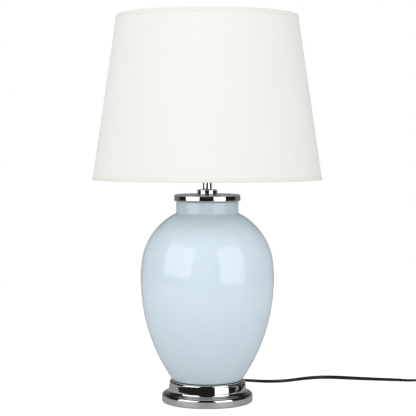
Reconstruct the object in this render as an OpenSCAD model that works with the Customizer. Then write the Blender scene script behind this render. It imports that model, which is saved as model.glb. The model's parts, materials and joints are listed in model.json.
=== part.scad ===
// Table lamp: a tapered fabric shade over a glazed ginger-jar body on a polished two-tier base,
// with its holder, bulb, flat flex, in-line switch and plug.
// Millimetres. +Z is up, and the origin is the centre of the underside, on the table.

/* [Base] */
// Thickness of the felt pad under the base
felt_t = 1.6; // [1:0.1:3]
// Thickness of the plate that closes the base
plate_t = 1.5; // [1:0.1:3]
// How far the rounded lower flange stands out beyond the collar's foot
flange_step = 9.7; // [8:0.1:16]
// Height of the top of the flange
flange_z = 14.5; // [12:0.1:17]
// Rounding of the flange's upper edge
flange_round = 5; // [2:0.5:6]
// Rounding of the flange's lower edge
rim_round = 2.5; // [1:0.5:3]
// How much wider the collar is at its foot than at its top
collar_taper = 1.3; // [0:0.1:3]
// Ledge of the collar outside the foot of the jar
collar_ledge = 4.4; // [3:0.1:5]
// Height of the top of the collar
collar_z = 32; // [29:0.1:45]
// Rounding of the collar's upper edge
collar_round = 3; // [1:0.5:3]
// Wall of the base shell
base_wall = 1.6; // [1:0.1:2]
// Thickness of the ballast casting
ballast_t = 9; // [6:0.1:9]

/* [Jar] */
// Thickness of the washer under the jar
seat_t = 0.8; // [0.5:0.1:2]
// Radius of the jar's foot
foot_r = 50.8; // [44:0.1:61]
// Radius of the jar at its widest
belly_r = 96.8; // [80:0.1:125]
// Height of the widest point above the foot
belly_h = 145; // [130:1:160]
// Angle up from the widest point at which the shoulder's tighter curve starts
shoulder_angle = 5.5; // [3:0.5:8]
// Height of the bottom of the neck above the foot
shoulder_h = 242.4; // [230:0.1:290]
// Radius of the neck
neck_r = 45.1; // [38:0.1:54]
// Height of the neck
neck_h = 16.8; // [10:0.1:25]
// Rounding of the neck's lip
lip_round = 1.5; // [0.5:0.1:2]
// Wall of the jar
jar_wall = 5; // [4:0.1:7]

/* [Neck cap] */
// Thickness of the washer between the neck and the cap
neck_seal_t = 0.6; // [0.4:0.1:1.5]
// How far the cap stands out beyond the neck
cap_overhang = 2.9; // [1:0.1:5]
// Thickness of the cap
cap_t = 9.7; // [7:0.1:12]
// Rounding of the cap's upper edge
cap_round = 2.5; // [1:0.1:3]
// Radius of the small disc on the cap
disc_r = 14.5; // [11:0.1:18]
// Thickness of the small disc
disc_t = 7; // [4:0.1:9]

/* [Stem] */
// Wall of the polished stem tube
stem_wall = 1.3; // [0.6:0.1:4]
// Length of the stem tube
stem_l = 44; // [36:1:60]
// Outside radius of the threaded rod
rod_r = 5; // [4.8:0.1:6]
// Wall of the threaded rod, whose bore the flex runs through
rod_wall = 1.4; // [1:0.1:1.8]

/* [Lamp holder] */
// Outside radius of the holder's threaded body
holder_r = 19.5; // [18.5:0.1:24]
// Height of the holder's cap, from the stem to the flange
holder_cap_h = 20; // [18:0.5:26]
// How far the flange that the shade rests on stands out beyond the threaded body
holder_flange_w = 3.5; // [2.5:0.1:5]
// Length of the threaded body above the flange
holder_body_h = 28; // [26:0.5:36]
// How far the ring that clamps the shade stands out beyond the threaded body
clamp_w = 6; // [4.5:0.1:9]
// Height of the clamping ring
clamp_h = 10; // [7:0.5:14]

/* [Bulb] */
// Radius of the bulb's glass
bulb_r = 30; // [22:0.5:36]
// Length of the bulb with its cap
bulb_l = 108; // [100:1:125]
// Radius of the bulb's screw cap
bulb_cap_r = 13.1; // [12.9:0.05:13.2]

/* [Shade] */
// Radius of the lower edge of the shade
shade_low_r = 166; // [140:1:200]
// Radius of the upper edge of the shade
shade_top_r = 131; // [105:1:160]
// Height of the shade
shade_h = 236.5; // [190:0.5:290]
// Gap between the cap on the neck and the lower edge of the shade
shade_gap = 21.2; // [14:0.1:26]
// Thickness of the fabric
fabric_t = 0.6; // [0.4:0.1:1]
// Thickness of the stiff lining
lining_t = 0.6; // [0.4:0.1:1]
// Radius of the wire of the rings and arms
wire_r = 1.75; // [1.25:0.05:2.5]
// Height of the hem tapes
hem_h = 6; // [5.5:0.5:12]
// Thickness of the hem tapes
hem_t = 0.4; // [0.3:0.1:0.8]
// How far the carrier ring stands out beyond the clamping ring
carrier_over = 1; // [0.5:0.1:3]
// Number of arms
arms = 3; // [3, 4]

/* [Flex] */
// Width of the flat flex
flex_w = 5.6; // [4.6:0.1:6.8]
// Thickness of the flat flex
flex_t = 3.6; // [3:0.1:3.8]
// Height of the flex where it leaves the base
flex_exit_z = 7; // [6.6:0.1:7.2]
// Radius of the coil at the middle of its turns
coil_r = 31; // [28:0.5:34]
// Turns beside each other in the coil
coil_rows = 3; // [3, 4]
// Layers of turns in the coil
coil_layers = 2; // [2, 3]

/* [In-line switch] */
// Length of the switch
switch_l = 62; // [56:1:70]
// Width of the switch
switch_w = 27; // [24:0.5:32]
// Height of the switch
switch_h = 19; // [18:0.5:23]
// Angle through which the rocker tips
rocker_tip = 20; // [12:1:24]

/* [Plug] */
// Width of the plug
plug_w = 35; // [32:0.5:37]
// Thickness of the plug
plug_t = 13.8; // [13:0.1:15]
// Length of the plug's body
plug_l = 34; // [28:1:38]
// Distance between the pins
pin_spacing = 18.6; // [18:0.1:19.2]
// Radius of a pin's metal tip
pin_r = 2; // [1.9:0.05:2.4]
// Length of a pin
pin_l = 19; // [18:0.5:20]

/* [Hidden] */
$fn = 96;

// Named clearances
play = 0.3;          // between pieces that turn or tip past each other
seat_play = 0.05;    // between flat faces that rest on each other
rod_play = 0.2;      // round the rod, where it passes through a piece
film = 0.1;          // under the flex and the loose pieces on the table

// Heights, from the table up
plate_z = felt_t;
ballast_z = plate_z + plate_t;
jar_z = collar_z + seat_t;
belly_z = jar_z + belly_h;
neck_z = jar_z + shoulder_h;
lip_z = neck_z + neck_h;
cap_z = lip_z + neck_seal_t;
disc_z = cap_z + cap_t;
stem_z = disc_z + disc_t;
holder_z = stem_z + stem_l;
holder_flange_z = holder_z + holder_cap_h;
holder_flange_t = 3;
carrier_z = holder_flange_z + holder_flange_t + seat_play;
carrier_t = 1.6;
clamp_z = carrier_z + carrier_t + seat_play;
holder_top_z = holder_flange_z + holder_flange_t + holder_body_h;
shade_low_z = disc_z + shade_gap;
shade_top_z = shade_low_z + shade_h;

// Base
shell_low_z = 0.6;
collar_top_r = foot_r + collar_ledge;
collar_foot_r = collar_top_r + collar_taper;
flange_r = collar_foot_r + flange_step;
rim_inner_r = flange_r - rim_round - base_wall;
plate_r = rim_inner_r - play;
cove_r = 4;
shell_top_t = 2;
nut_t = 6;
nut_r = 8.5;
washer_t = 1.5;
washer_r = 14;
rod_low_z = collar_z - shell_top_t - washer_t - nut_t - 1;
ballast_r = min(plate_r - 1, flange_r - flange_round - base_wall);
ballast_hole_r = 20;
channel_w = flex_w + 3;
channel_z = flex_exit_z - flex_t / 2;
clamp_y = 38;
clamp_bar = [24, 8, 2];
clamp_screw_x = 8;
clamp_screw_r = 1.6;
relief_l = 32;
relief_tip_r = flex_w / 2 + 0.4;
relief_root_r = relief_tip_r + 1.7;
relief_flange_r = relief_root_r + 0.4;
relief_flange_t = 2;
relief_inner_y = flange_r - base_wall - relief_flange_t;
relief_end_y = flange_r - base_wall + relief_l - 4;

// Jar: the belly is an arc through the foot and the widest point, and the shoulder is an
// arc that leaves it smoothly and ends at the bottom of the neck
belly_in = belly_r - foot_r;
belly_arc = (belly_in * belly_in + belly_h * belly_h) / (2 * belly_in);
belly_x = belly_r - belly_arc;
join_dir = [cos(shoulder_angle), sin(shoulder_angle)];
join = [belly_x, belly_z] + belly_arc * join_dir;
to_neck = [neck_r, neck_z] - join;
shoulder_arc = -(to_neck * to_neck) / (2 * (to_neck * join_dir));
shoulder_centre = join - shoulder_arc * join_dir;
// How far the neck reaches down inside the shoulder, so that they make one wall
neck_reach = 15;
jar_floor_t = 6;
foot_recess = 1.5;
foot_ring_w = 8;
fine = 192;

// Stem
rod_bore_r = rod_r - rod_wall;
stem_r = rod_r + rod_play + stem_wall;

// Lamp holder
cap_skin_r = holder_r - 1;
holder_wall = 2;
holder_flange_r = holder_r + holder_flange_w;
clamp_r = holder_r + clamp_w;
block_r = cap_skin_r - holder_wall - 0.1;
block_t = 10;
block_z = holder_flange_z - 4;
thread_r = bulb_cap_r + play;
thread_shell_t = 0.4;
contact_t = 0.5;
contact_z = block_z + block_t;
shell_l = 20;
terminal_x = 9;
terminal_h = 5.5;
terminal_screw_r = 1.5;
core_hole_r = 1.1;
grips = 24;

// Bulb: the tip stands just clear of the contact
bulb_z = contact_z + contact_t + play;
tip_h = 2;
insulator_h = 4;
screw_l = 20;
glass_z = bulb_z + tip_h + insulator_h + screw_l;
glass_t = 1;
bulb_top_z = bulb_z + bulb_l;
globe_z = bulb_top_z - bulb_r;
thread_pitch = 3.6;

// Shade
panel_t = fabric_t + lining_t;
fold_ease = 0.1;
wire_low_z = shade_low_z + hem_t + wire_r;
wire_top_z = shade_top_z - hem_t - wire_r;
carrier_hole_r = holder_r + 0.7;
carrier_r = clamp_r + carrier_over;

// Flex: round numbers along its middle, as [x, y, height, turn of the flat side in degrees].
// It leaves the back of the base, drops to the table and wanders off to the right.
run_points = [
    [0, 92.6, 7, 0], [0, 104, 6.5, 0], [1, 117, 4.6, 0], [3, 130, 2.5, 0], [7, 143, 1.9, 0],
    [15, 154, 1.9, 0], [27, 162, 1.9, 0], [42, 165, 1.9, 0], [57, 163, 1.9, 0],
    [72, 158, 1.9, 0], [87, 153, 1.9, 0], [102, 152, 1.9, 0], [117, 155, 1.9, 0],
    [131, 162, 1.9, 0], [144, 171, 1.9, 0], [157, 179, 1.9, 0], [170, 185, 2.2, 30],
    [184, 188, 2.8, 75], [199, 188, 2.9, 90], [214, 185, 2.9, 90], [228, 181, 2.6, 60],
    [242, 177, 2.1, 25], [257, 174, 1.9, 0], [272, 171, 1.9, 0], [287, 168, 1.9, 0],
    [302, 166, 1.9, 0], [316, 163, 1.9, 0], [329, 161, 2.6, 0], [340, 160, 4.9, 0],
    [350, 160, 6.6, 0]
];
switch_at = [350, 160];
// From the switch round into the coil
link_points = [
    [412, 160, 6.6, 0], [423, 159, 5.9, 20], [434, 155, 4.6, 50], [442, 147, 3.6, 80],
    [446, 135, 3.5, 90], [446, 121, 3.5, 90], [446, 107, 3.5, 90]
];
coil_at = [410.6, 107];
coil_low_z = 0.7;
turn_gap_r = flex_t + 0.2;
turn_gap_z = flex_w + 0.2;
// From the top of the coil to the plug
tail_points = [
    [445.4, 107, 9.3, 90], [445.2, 97, 9.2, 80], [444.4, 86, 8.6, 50], [443.3, 76, 7.6, 15],
    [443, 66, 7, 0]
];
plug_at = [443, 66];
tie_w = 5;
tie_t = 0.5;
tie_gap = 0.1;

// Switch and plug
switch_wall = 2;
switch_split_z = 9.4;
rocker_r = 9;
rocker_w = 11;
rocker_z = film + switch_h - 6.1;
rocker_face = 6.3;
rocker_depth = 5;
plug_relief_l = 18;
sleeve_l = 10;
sleeve_r = pin_r - 0.1;
core_r = sleeve_r - 0.5;

// Radius of the outside of the fabric at a height
function shade_r(z) = shade_low_r + (shade_top_r - shade_low_r) * (z - shade_low_z) / shade_h;

// Radius of the middle of a wire ring that lies against the lining at a height
function wire_ring_r(z) = shade_r(z) - panel_t - wire_r - hem_t;

// Vectors
function unit(v) = v / norm(v);
function place(p) = [p[0], p[1], p[2]];
function heading(pts, i) =
    unit(place(pts[min(i + 1, len(pts) - 1)]) - place(pts[max(i - 1, 0)]));

// One point of the flat section, with its two round edges
function section_point(w, t, a) =
    [(w - t) / 2 * sign(cos(a)) + t / 2 * cos(a), t / 2 * sin(a)];

// One ring of the flex: side is the direction of its width before it is turned
function ring_of(pts, i, w, t, sides, side) =
    let (
        along = heading(pts, i),
        across = is_undef(side) ? unit(cross(along, [0, 0, 1])) : side,
        up = cross(across, along),
        turn = pts[i][3]
    )
    [for (k = [0 : sides - 1])
        let (
            s = section_point(w, t, (k + 0.5) * 360 / sides),
            u = s[0] * cos(turn) - s[1] * sin(turn),
            v = s[0] * sin(turn) + s[1] * cos(turn)
        )
        place(pts[i]) + u * across + v * up];

// A flat or round flex swept along points
module flex_along(pts, w, t, sides = 10, side = undef) {
    rings = [for (i = [0 : len(pts) - 1]) each ring_of(pts, i, w, t, sides, side)];
    last = (len(pts) - 1) * sides;
    walls = [for (i = [0 : len(pts) - 2]) for (k = [0 : sides - 1])
        let (a = i * sides + k, b = i * sides + (k + 1) % sides)
        each [[a, b, b + sides], [a, b + sides, a + sides]]];
    start = [[for (k = [sides - 1 : -1 : 0]) k]];
    end = [[for (k = [0 : sides - 1]) last + k]];
    polyhedron(points = rings, faces = concat(start, walls, end), convexity = 6);
}

// Outline of half a disc with rounded outer corners, to be turned round the axis
module disc_outline(r, low, high, low_round = 0, high_round = 0) {
    difference() {
        translate([0, low]) square([r, high - low]);
        if (high_round > 0) {
            difference() {
                translate([r - high_round, high - high_round]) square(high_round + 1);
                translate([r - high_round, high - high_round]) circle(high_round);
            }
        }
        if (low_round > 0) {
            difference() {
                translate([r - low_round, low - 1]) square([low_round + 1, low_round + 1]);
                translate([r - low_round, low + low_round]) circle(low_round);
            }
        }
    }
}

// A washer
module washer(outer, inner, low, high) {
    rotate_extrude() translate([inner, low]) square([outer - inner, high - low]);
}

// Outline of the base without its hollow
module base_outline() {
    disc_outline(flange_r, shell_low_z, flange_z, rim_round, flange_round);
    cone_low = flange_z + cove_r;
    difference() {
        translate([0, flange_z - 1]) square([collar_foot_r + cove_r, cove_r + 1]);
        translate([collar_foot_r + cove_r, cone_low]) circle(cove_r);
    }
    difference() {
        polygon([[0, flange_z], [collar_foot_r, flange_z], [collar_foot_r, cone_low],
            [collar_top_r, collar_z - collar_round], [collar_top_r, collar_z], [0, collar_z]]);
        difference() {
            translate([collar_top_r - collar_round, collar_z - collar_round])
                square(collar_round + 1);
            translate([collar_top_r - collar_round, collar_z - collar_round])
                circle(collar_round);
        }
    }
}

// Outline of the hollow inside the base
module base_hollow() {
    disc_outline(rim_inner_r, 0, flange_z - base_wall, 0, 0.5);
    disc_outline(flange_r - base_wall, shell_low_z + rim_round + base_wall,
        flange_z - base_wall, 2, flange_round - base_wall);
    polygon([[0, 0], [collar_foot_r - base_wall, 0],
        [collar_foot_r - base_wall, flange_z + cove_r],
        [collar_top_r - base_wall - 1, collar_z - shell_top_t - 1],
        [collar_top_r - base_wall - 3, collar_z - shell_top_t], [0, collar_z - shell_top_t]]);
}

// Outline of the jar's outer face, or of its inner face at a wall inside it
module jar_outline(wall, low, high) {
    join_z = join[1] - wall * join_dir[1];
    intersection() {
        translate([belly_x, belly_z]) circle(belly_arc - wall, $fn = 2 * fine);
        translate([0, low]) square([belly_r + 1, join_z - low]);
    }
    intersection() {
        translate(shoulder_centre) circle(shoulder_arc - wall, $fn = 2 * fine);
        translate([0, join_z - 0.01]) square([belly_r + 1, neck_z - join_z + lip_round]);
    }
    disc_outline(neck_r - wall, neck_z - neck_reach, high, 0, wall > 0 ? 0 : lip_round);
}

// Outline of a hem tape folded round the edge of the shade and its wire: side is 1 at the
// top and -1 at the bottom
module hem_outline(side) {
    edge_z = side > 0 ? shade_top_z : shade_low_z;
    tape_z = edge_z - side * hem_h;
    panel_z = edge_z - side * hem_t;
    fold_r = wire_r + hem_t;
    fold_z = edge_z - side * 2 * fold_r;
    wire_z = edge_z - side * fold_r;
    wire_x = wire_ring_r(wire_z);
    difference() {
        union() {
            polygon([[wire_x, edge_z], [shade_r(edge_z) + hem_t, edge_z],
                [shade_r(tape_z) + hem_t, tape_z], [shade_r(tape_z), tape_z],
                [shade_r(panel_z), panel_z], [shade_r(panel_z) - panel_t, panel_z],
                [shade_r(fold_z) - panel_t, fold_z], [wire_x, fold_z]]);
            translate([wire_x, wire_z]) circle(fold_r - fold_ease, $fn = 32);
        }
        translate([wire_x, wire_z]) circle(wire_r, $fn = 32);
    }
}

// A sloping skin of the shade, from one depth under the fabric's face to another
module shade_skin(outer, inner) {
    low = shade_low_z + hem_t;
    high = shade_top_z - hem_t;
    rotate_extrude($fn = fine)
        polygon([[shade_r(low) - outer, low], [shade_r(high) - outer, high],
            [shade_r(high) - inner, high], [shade_r(low) - inner, low]]);
}

// A wire bent into a ring that sits against the lining
module shade_wire(z) {
    rotate_extrude($fn = fine)
        translate([wire_ring_r(z), z]) circle(wire_r, $fn = 32);
}

// Base, from the table up
module felt_pad() {
    color("darkgreen") washer(plate_r - 1, 6, 0, felt_t);
}

module base_plate() {
    color("dimgray") washer(plate_r, 4, plate_z, ballast_z);
}

module base_ballast() {
    color("dimgray") difference() {
        washer(ballast_r, ballast_hole_r, ballast_z, ballast_z + ballast_t);
        translate([-channel_w / 2, 0, channel_z]) cube([channel_w, ballast_r + 1, ballast_t + 1]);
        translate([0, ballast_r, flex_exit_z]) rotate([90, 0, 0])
            cylinder(r = relief_flange_r + play, h = 2 * (ballast_r - relief_inner_y + 8),
                center = true);
        for (x = [-clamp_screw_x, clamp_screw_x])
            translate([x, clamp_y, ballast_z + 2]) cylinder(r = clamp_screw_r, h = ballast_t);
    }
}

module base_shell() {
    color("silver") difference() {
        rotate_extrude($fn = fine) difference() {
            base_outline();
            base_hollow();
        }
        translate([0, 0, collar_z - 5]) cylinder(r = rod_r + rod_play, h = 10);
        translate([0, flange_r - 8, flex_exit_z]) rotate([-90, 0, 0]) {
            cylinder(r = relief_root_r + seat_play, h = 12);
            cylinder(r = relief_flange_r + play, h = 8 - base_wall + seat_play);
        }
    }
}

module seat_washer() {
    color("black") washer(foot_r - 1.5, foot_r - foot_ring_w, collar_z, jar_z);
}

module ceramic_jar() {
    color("lightblue") rotate_extrude($fn = fine) difference() {
        jar_outline(0, jar_z, lip_z);
        jar_outline(jar_wall, jar_z + jar_floor_t, lip_z + 1);
        translate([-1, jar_z - 1]) square([foot_r - foot_ring_w + 1, foot_recess + 1]);
        translate([-1, jar_z - 1]) square([rod_r + 2, jar_floor_t + 2]);
    }
}

// Neck cap and stem
module neck_washer() {
    color("white") washer(neck_r - lip_round - 0.2, neck_r - jar_wall, lip_z, cap_z);
}

module neck_cap() {
    spigot_r = neck_r - jar_wall - play;
    color("silver") rotate_extrude($fn = fine) difference() {
        union() {
            disc_outline(neck_r + cap_overhang, cap_z, disc_z, 1.5, cap_round);
            disc_outline(spigot_r, cap_z - 6, cap_z + 1, 1, 0);
        }
        translate([-1, cap_z - 7]) square([spigot_r - 1, cap_t + 7 - 2]);
        translate([-1, cap_z - 7]) square([rod_r + rod_play + 1, cap_t + 9]);
    }
}

module stem_disc() {
    color("silver") rotate_extrude() difference() {
        disc_outline(disc_r, disc_z, stem_z, 0.6, 1);
        translate([-1, disc_z - 1]) square([rod_r + rod_play + 1, disc_t + 2]);
    }
}

module stem_tube() {
    color("silver") washer(stem_r, rod_r + rod_play, stem_z, holder_z);
}

module threaded_rod() {
    color("goldenrod") washer(rod_r, rod_bore_r, rod_low_z, holder_z + 6);
}

module rod_washer() {
    color("silver") washer(washer_r, rod_r + rod_play, collar_z - shell_top_t - washer_t,
        collar_z - shell_top_t);
}

module rod_nut() {
    low = collar_z - shell_top_t - washer_t - nut_t;
    color("silver") difference() {
        translate([0, 0, low]) cylinder(r = nut_r, h = nut_t, $fn = 6);
        translate([0, 0, low - 1]) cylinder(r = rod_r + 0.02, h = nut_t + 2);
    }
}

// The flex inside the base, up the rod and into the holder
module flex_clamp() {
    low = channel_z + flex_t;
    top = ballast_z + ballast_t;
    color("white") difference() {
        union() {
            translate([-clamp_bar[0] / 2, clamp_y - clamp_bar[1] / 2, top]) cube(clamp_bar);
            translate([-channel_w / 2 + play, clamp_y - clamp_bar[1] / 2, low])
                cube([channel_w - 2 * play, clamp_bar[1], top - low + 1]);
        }
        for (x = [-clamp_screw_x, clamp_screw_x])
            translate([x, clamp_y, top - 1]) cylinder(r = clamp_screw_r, h = 5);
    }
}

module clamp_screws() {
    top = ballast_z + ballast_t + clamp_bar[2];
    color("silver") for (x = [-clamp_screw_x, clamp_screw_x]) translate([x, clamp_y, 0]) {
        translate([0, 0, ballast_z + 2]) cylinder(r = clamp_screw_r, h = top - ballast_z - 1);
        translate([0, 0, top]) difference() {
            cylinder(r = 2.9, h = 1.8);
            translate([-4, -0.4, 1]) cube([8, 0.8, 2]);
        }
    }
}

module strain_relief() {
    length = relief_end_y - relief_inner_y;
    outside = relief_flange_t + base_wall;
    color("black") translate([0, relief_inner_y, flex_exit_z]) rotate([-90, 0, 0]) {
        cylinder(r = relief_flange_r, h = relief_flange_t);
        cylinder(r = relief_root_r, h = outside + 1);
        translate([0, 0, outside])
            cylinder(r1 = relief_root_r, r2 = relief_tip_r, h = length - outside);
        for (i = [1 : 5])
            translate([0, 0, outside + 1 + i * 4])
                cylinder(r = relief_root_r - i * 0.26, h = 1.6);
    }
}

module inner_flex() {
    turn_z = rod_low_z;
    pts = [[0, relief_inner_y, flex_exit_z, 0], [0, 44, flex_exit_z, 0], [0, 26, flex_exit_z, 0],
        [0, 16, flex_exit_z + 1, 0], [0, 8.5, flex_exit_z + 4.5, 0],
        [0, 3.2, turn_z - 5, 0], [0, 0.6, turn_z + 1, 0], [0, 0, turn_z + 8, 0],
        [0, 0, holder_z / 2, 0], [0, 0, holder_z + 7, 0]];
    color("black") flex_along(pts, flex_w, flex_t, 10, [1, 0, 0]);
}

module core(side) {
    start_z = holder_z + 7;
    pts = [[side * 1.2, 0, start_z, 0], [side * 1.2, 0, start_z + 1, 0],
        [side * 1.9, 0, start_z + 3, 0], [side * 4, 0, start_z + 5, 0],
        [side * 7.2, 0, start_z + 6.5, 0],
        [side * terminal_x, 0, block_z - 0.5, 0], [side * terminal_x, 0, block_z + 2, 0]];
    flex_along(pts, 2, 2, 8, [0, 1, 0]);
}

module live_core() {
    color("saddlebrown") core(-1);
}

module neutral_core() {
    color("steelblue") core(1);
}

// Lamp holder
module holder_cap() {
    top = holder_flange_z;
    color("black") rotate_extrude() difference() {
        polygon([[0, holder_z], [9, holder_z], [9, holder_z + 5], [12, holder_z + 7],
            [cap_skin_r, top - 6], [cap_skin_r, top], [0, top]]);
        polygon([[0, holder_z + 7], [8, holder_z + 7], [11, holder_z + 9],
            [cap_skin_r - holder_wall, top - 5], [cap_skin_r - holder_wall, top + 1],
            [0, top + 1]]);
        translate([-1, holder_z - 1]) square([rod_r + 1.02, 10]);
    }
}

module holder_body() {
    top = holder_flange_z + holder_flange_t;
    color("black") rotate_extrude() difference() {
        union() {
            disc_outline(holder_flange_r, holder_flange_z, top, 0.6, 0.6);
            disc_outline(holder_r - 0.6, top - 1, holder_top_z, 0, 1);
            for (i = [0 : 7]) translate([0, top + 2 + i * 2.6]) square([holder_r, 1.3]);
        }
        translate([-1, holder_flange_z - 1]) square([block_r + play + 1, block_t + 1]);
        translate([-1, holder_flange_z + 5])
            square([thread_r + thread_shell_t + play + 1, holder_body_h + 10]);
    }
}

module terminal_block() {
    color("ivory") difference() {
        union() {
            translate([0, 0, block_z]) cylinder(r = block_r, h = block_t);
            translate([0, 0, contact_z - 1]) cylinder(r = 4, h = 1);
        }
        for (x = [-terminal_x, terminal_x]) {
            translate([x, 0, block_z - 1]) cylinder(r = core_hole_r, h = terminal_h + 1);
            translate([x, -block_r - 1, block_z + terminal_h]) rotate([-90, 0, 0])
                cylinder(r = terminal_screw_r, h = block_r + 3);
        }
    }
}

module terminal_screws() {
    color("goldenrod") for (x = [-terminal_x, terminal_x])
        translate([x, -11, block_z + terminal_h]) rotate([-90, 0, 0]) difference() {
            cylinder(r = terminal_screw_r, h = 10);
            translate([-2, -0.3, -1]) cube([4, 0.6, 2]);
        }
}

module thread_shell() {
    color("goldenrod") washer(thread_r + thread_shell_t, thread_r, contact_z, contact_z + shell_l);
}

module centre_contact() {
    color("goldenrod") translate([0, 0, contact_z]) cylinder(r = 3.6, h = contact_t);
}

// The ring that clamps the shade, with a grip round it
module shade_clamp_ring() {
    color("black") difference() {
        rotate_extrude() difference() {
            disc_outline(clamp_r, clamp_z, clamp_z + clamp_h, 0.8, 1.2);
            translate([-1, clamp_z - 1]) square([holder_r + play + 1, clamp_h + 2]);
        }
        for (i = [0 : grips - 1]) rotate([0, 0, i * 360 / grips])
            translate([clamp_r + 0.6, 0, clamp_z + 2]) cylinder(r = 1.5, h = clamp_h, $fn = 24);
    }
}

// Bulb
module globe_outline(inset) {
    neck = bulb_cap_r - 0.6;
    waist_z = globe_z - bulb_r * 0.7;
    waist_r = bulb_r * 0.72;
    translate([0, globe_z]) circle(bulb_r - inset);
    polygon([[0, glass_z + inset], [neck - inset, glass_z + inset],
        [neck + 0.5 - inset, glass_z + 10], [waist_r - inset, waist_z],
        [0, waist_z]]);
    polygon([[0, waist_z - 0.1], [waist_r - inset, waist_z - 0.1], [waist_r - inset, waist_z],
        [bulb_r * 0.98 - inset, globe_z - bulb_r * 0.2], [0, globe_z]]);
}

module bulb_glass() {
    color("white") rotate_extrude() intersection() {
        difference() {
            globe_outline(0);
            globe_outline(glass_t);
        }
        translate([0, glass_z]) square([bulb_r + 1, bulb_l]);
    }
}

module bulb_screw_cap() {
    low = bulb_z + tip_h + insulator_h;
    color("silver") rotate_extrude() {
        translate([0, low]) square([bulb_cap_r - 0.9, screw_l]);
        for (i = [0 : 3]) translate([bulb_cap_r - 1, low + 3 + i * thread_pitch]) circle(1, $fn = 24);
    }
}

module bulb_insulator() {
    color("black") translate([0, 0, bulb_z + tip_h])
        cylinder(r1 = 5.5, r2 = bulb_cap_r - 1.2, h = insulator_h);
}

module bulb_tip() {
    color("silver") translate([0, 0, bulb_z]) cylinder(r1 = 3.2, r2 = 4.4, h = tip_h);
}

// Shade
module shade_fabric() {
    color("ivory") shade_skin(0, fabric_t);
}

module shade_lining() {
    color("white") shade_skin(fabric_t, panel_t);
}

module shade_top_hem() {
    color("ivory") rotate_extrude($fn = fine) hem_outline(1);
}

module shade_low_hem() {
    color("ivory") rotate_extrude($fn = fine) hem_outline(-1);
}

module shade_top_wire() {
    color("white") shade_wire(wire_top_z);
}

module shade_low_wire() {
    color("white") shade_wire(wire_low_z);
}

// Straight arms from the lower wire up to the carrier ring
module shade_arms() {
    outer = [wire_ring_r(wire_low_z) - wire_r - hem_t, 0, wire_low_z];
    inner = [carrier_r - 0.4, 0, carrier_z + carrier_t / 2];
    reach = outer - inner;
    tilt = atan2(norm([reach[0], reach[1]]), reach[2]);
    color("white") difference() {
        for (i = [0 : arms - 1]) rotate([0, 0, 90 + i * 360 / arms])
            translate(inner) rotate([0, tilt, 0]) cylinder(r = wire_r, h = norm(reach), $fn = 24);
        translate([0, 0, carrier_z]) cylinder(r = carrier_r, h = carrier_t);
    }
}

module shade_carrier() {
    color("white") washer(carrier_r, carrier_hole_r, carrier_z, carrier_z + carrier_t);
}

// Flex on the table
module flex_run() {
    color("black") flex_along(run_points, flex_w, flex_t);
}

module flex_link() {
    color("black") flex_along(link_points, flex_w, flex_t);
}

module flex_tail() {
    color("black") flex_along(tail_points, flex_w, flex_t);
}

module flex_coil() {
    half = (coil_rows - 1) / 2 * turn_gap_r + flex_t / 2;
    tall = (coil_layers - 1) * turn_gap_z + flex_w;
    edge = 1.4;
    color("black") translate([coil_at[0], coil_at[1], coil_low_z]) rotate_extrude()
        translate([coil_r, 0]) {
            translate([-half, edge]) square([2 * half, tall - 2 * edge]);
            translate([-half + edge, 0]) square([2 * half - 2 * edge, tall]);
            for (x = [-half + edge, half - edge], z = [edge, tall - edge])
                translate([x, z]) circle(edge, $fn = 24);
        }
}

module flex_tie() {
    half = (coil_rows - 1) / 2 * turn_gap_r + flex_t / 2 + tie_gap + 0.2;
    tall = (coil_layers - 1) * turn_gap_z + flex_w + 2 * tie_gap;
    color("dimgray") translate([coil_at[0], coil_at[1], coil_low_z - tie_gap])
        rotate([0, 0, 180]) translate([coil_r, 0, 0]) difference() {
            translate([-half - tie_t, -tie_w / 2, -tie_t])
                cube([2 * (half + tie_t), tie_w, tall + 2 * tie_t]);
            translate([-half, -tie_w, 0]) cube([2 * half, 2 * tie_w, tall]);
        }
}

// In-line switch
module switch_outline(inset) {
    r = 7 - inset;
    hull() for (x = [7, switch_l - 7], y = [7 - switch_w / 2, switch_w / 2 - 7])
        translate([x, y]) circle(r, $fn = 32);
}

module switch_half(low, high) {
    translate([switch_at[0], switch_at[1], 0]) {
        translate([0, 0, low]) linear_extrude(high - low) switch_outline(0);
    }
}

module switch_hollow(low, high) {
    translate([switch_at[0], switch_at[1], low]) linear_extrude(high - low)
        switch_outline(switch_wall);
}

module rocker_cylinder(r, w) {
    translate([switch_at[0] + switch_l / 2, switch_at[1], rocker_z])
        rotate([90, 0, 0]) cylinder(r = r, h = w, center = true);
}

module switch_posts(low, high, r) {
    for (x = [12, switch_l - 12])
        translate([switch_at[0] + x, switch_at[1] + 7, low]) cylinder(r = r, h = high - low, $fn = 32);
}

module switch_base() {
    color("black") difference() {
        union() {
            difference() {
                switch_half(film, switch_split_z);
                switch_hollow(film + switch_wall, switch_split_z + 1);
            }
            switch_posts(film, switch_split_z, 3);
        }
        switch_posts(film - 1, switch_split_z + 1, 1.3);
        switch_posts(film - 1, film + 1.6, 2.5);
    }
}

module switch_cover() {
    top = film + switch_h;
    color("black") difference() {
        union() {
            difference() {
                switch_half(switch_split_z, top);
                switch_hollow(switch_split_z - 1, top - switch_wall);
            }
            switch_posts(switch_split_z, top - 1, 3);
        }
        rocker_cylinder(rocker_r + play, rocker_w + 2 * play);
        switch_posts(switch_split_z - 1, top - 4, 1.3);
    }
}

module switch_rocker() {
    pivot = [switch_at[0] + switch_l / 2, switch_at[1], rocker_z];
    color("dimgray") intersection() {
        rocker_cylinder(rocker_r, rocker_w);
        translate(pivot) rotate([0, rocker_tip / 2, 0])
            translate([-rocker_r, -rocker_w, -rocker_depth])
                cube([2 * rocker_r, 2 * rocker_w, rocker_depth + rocker_face]);
    }
}

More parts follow.
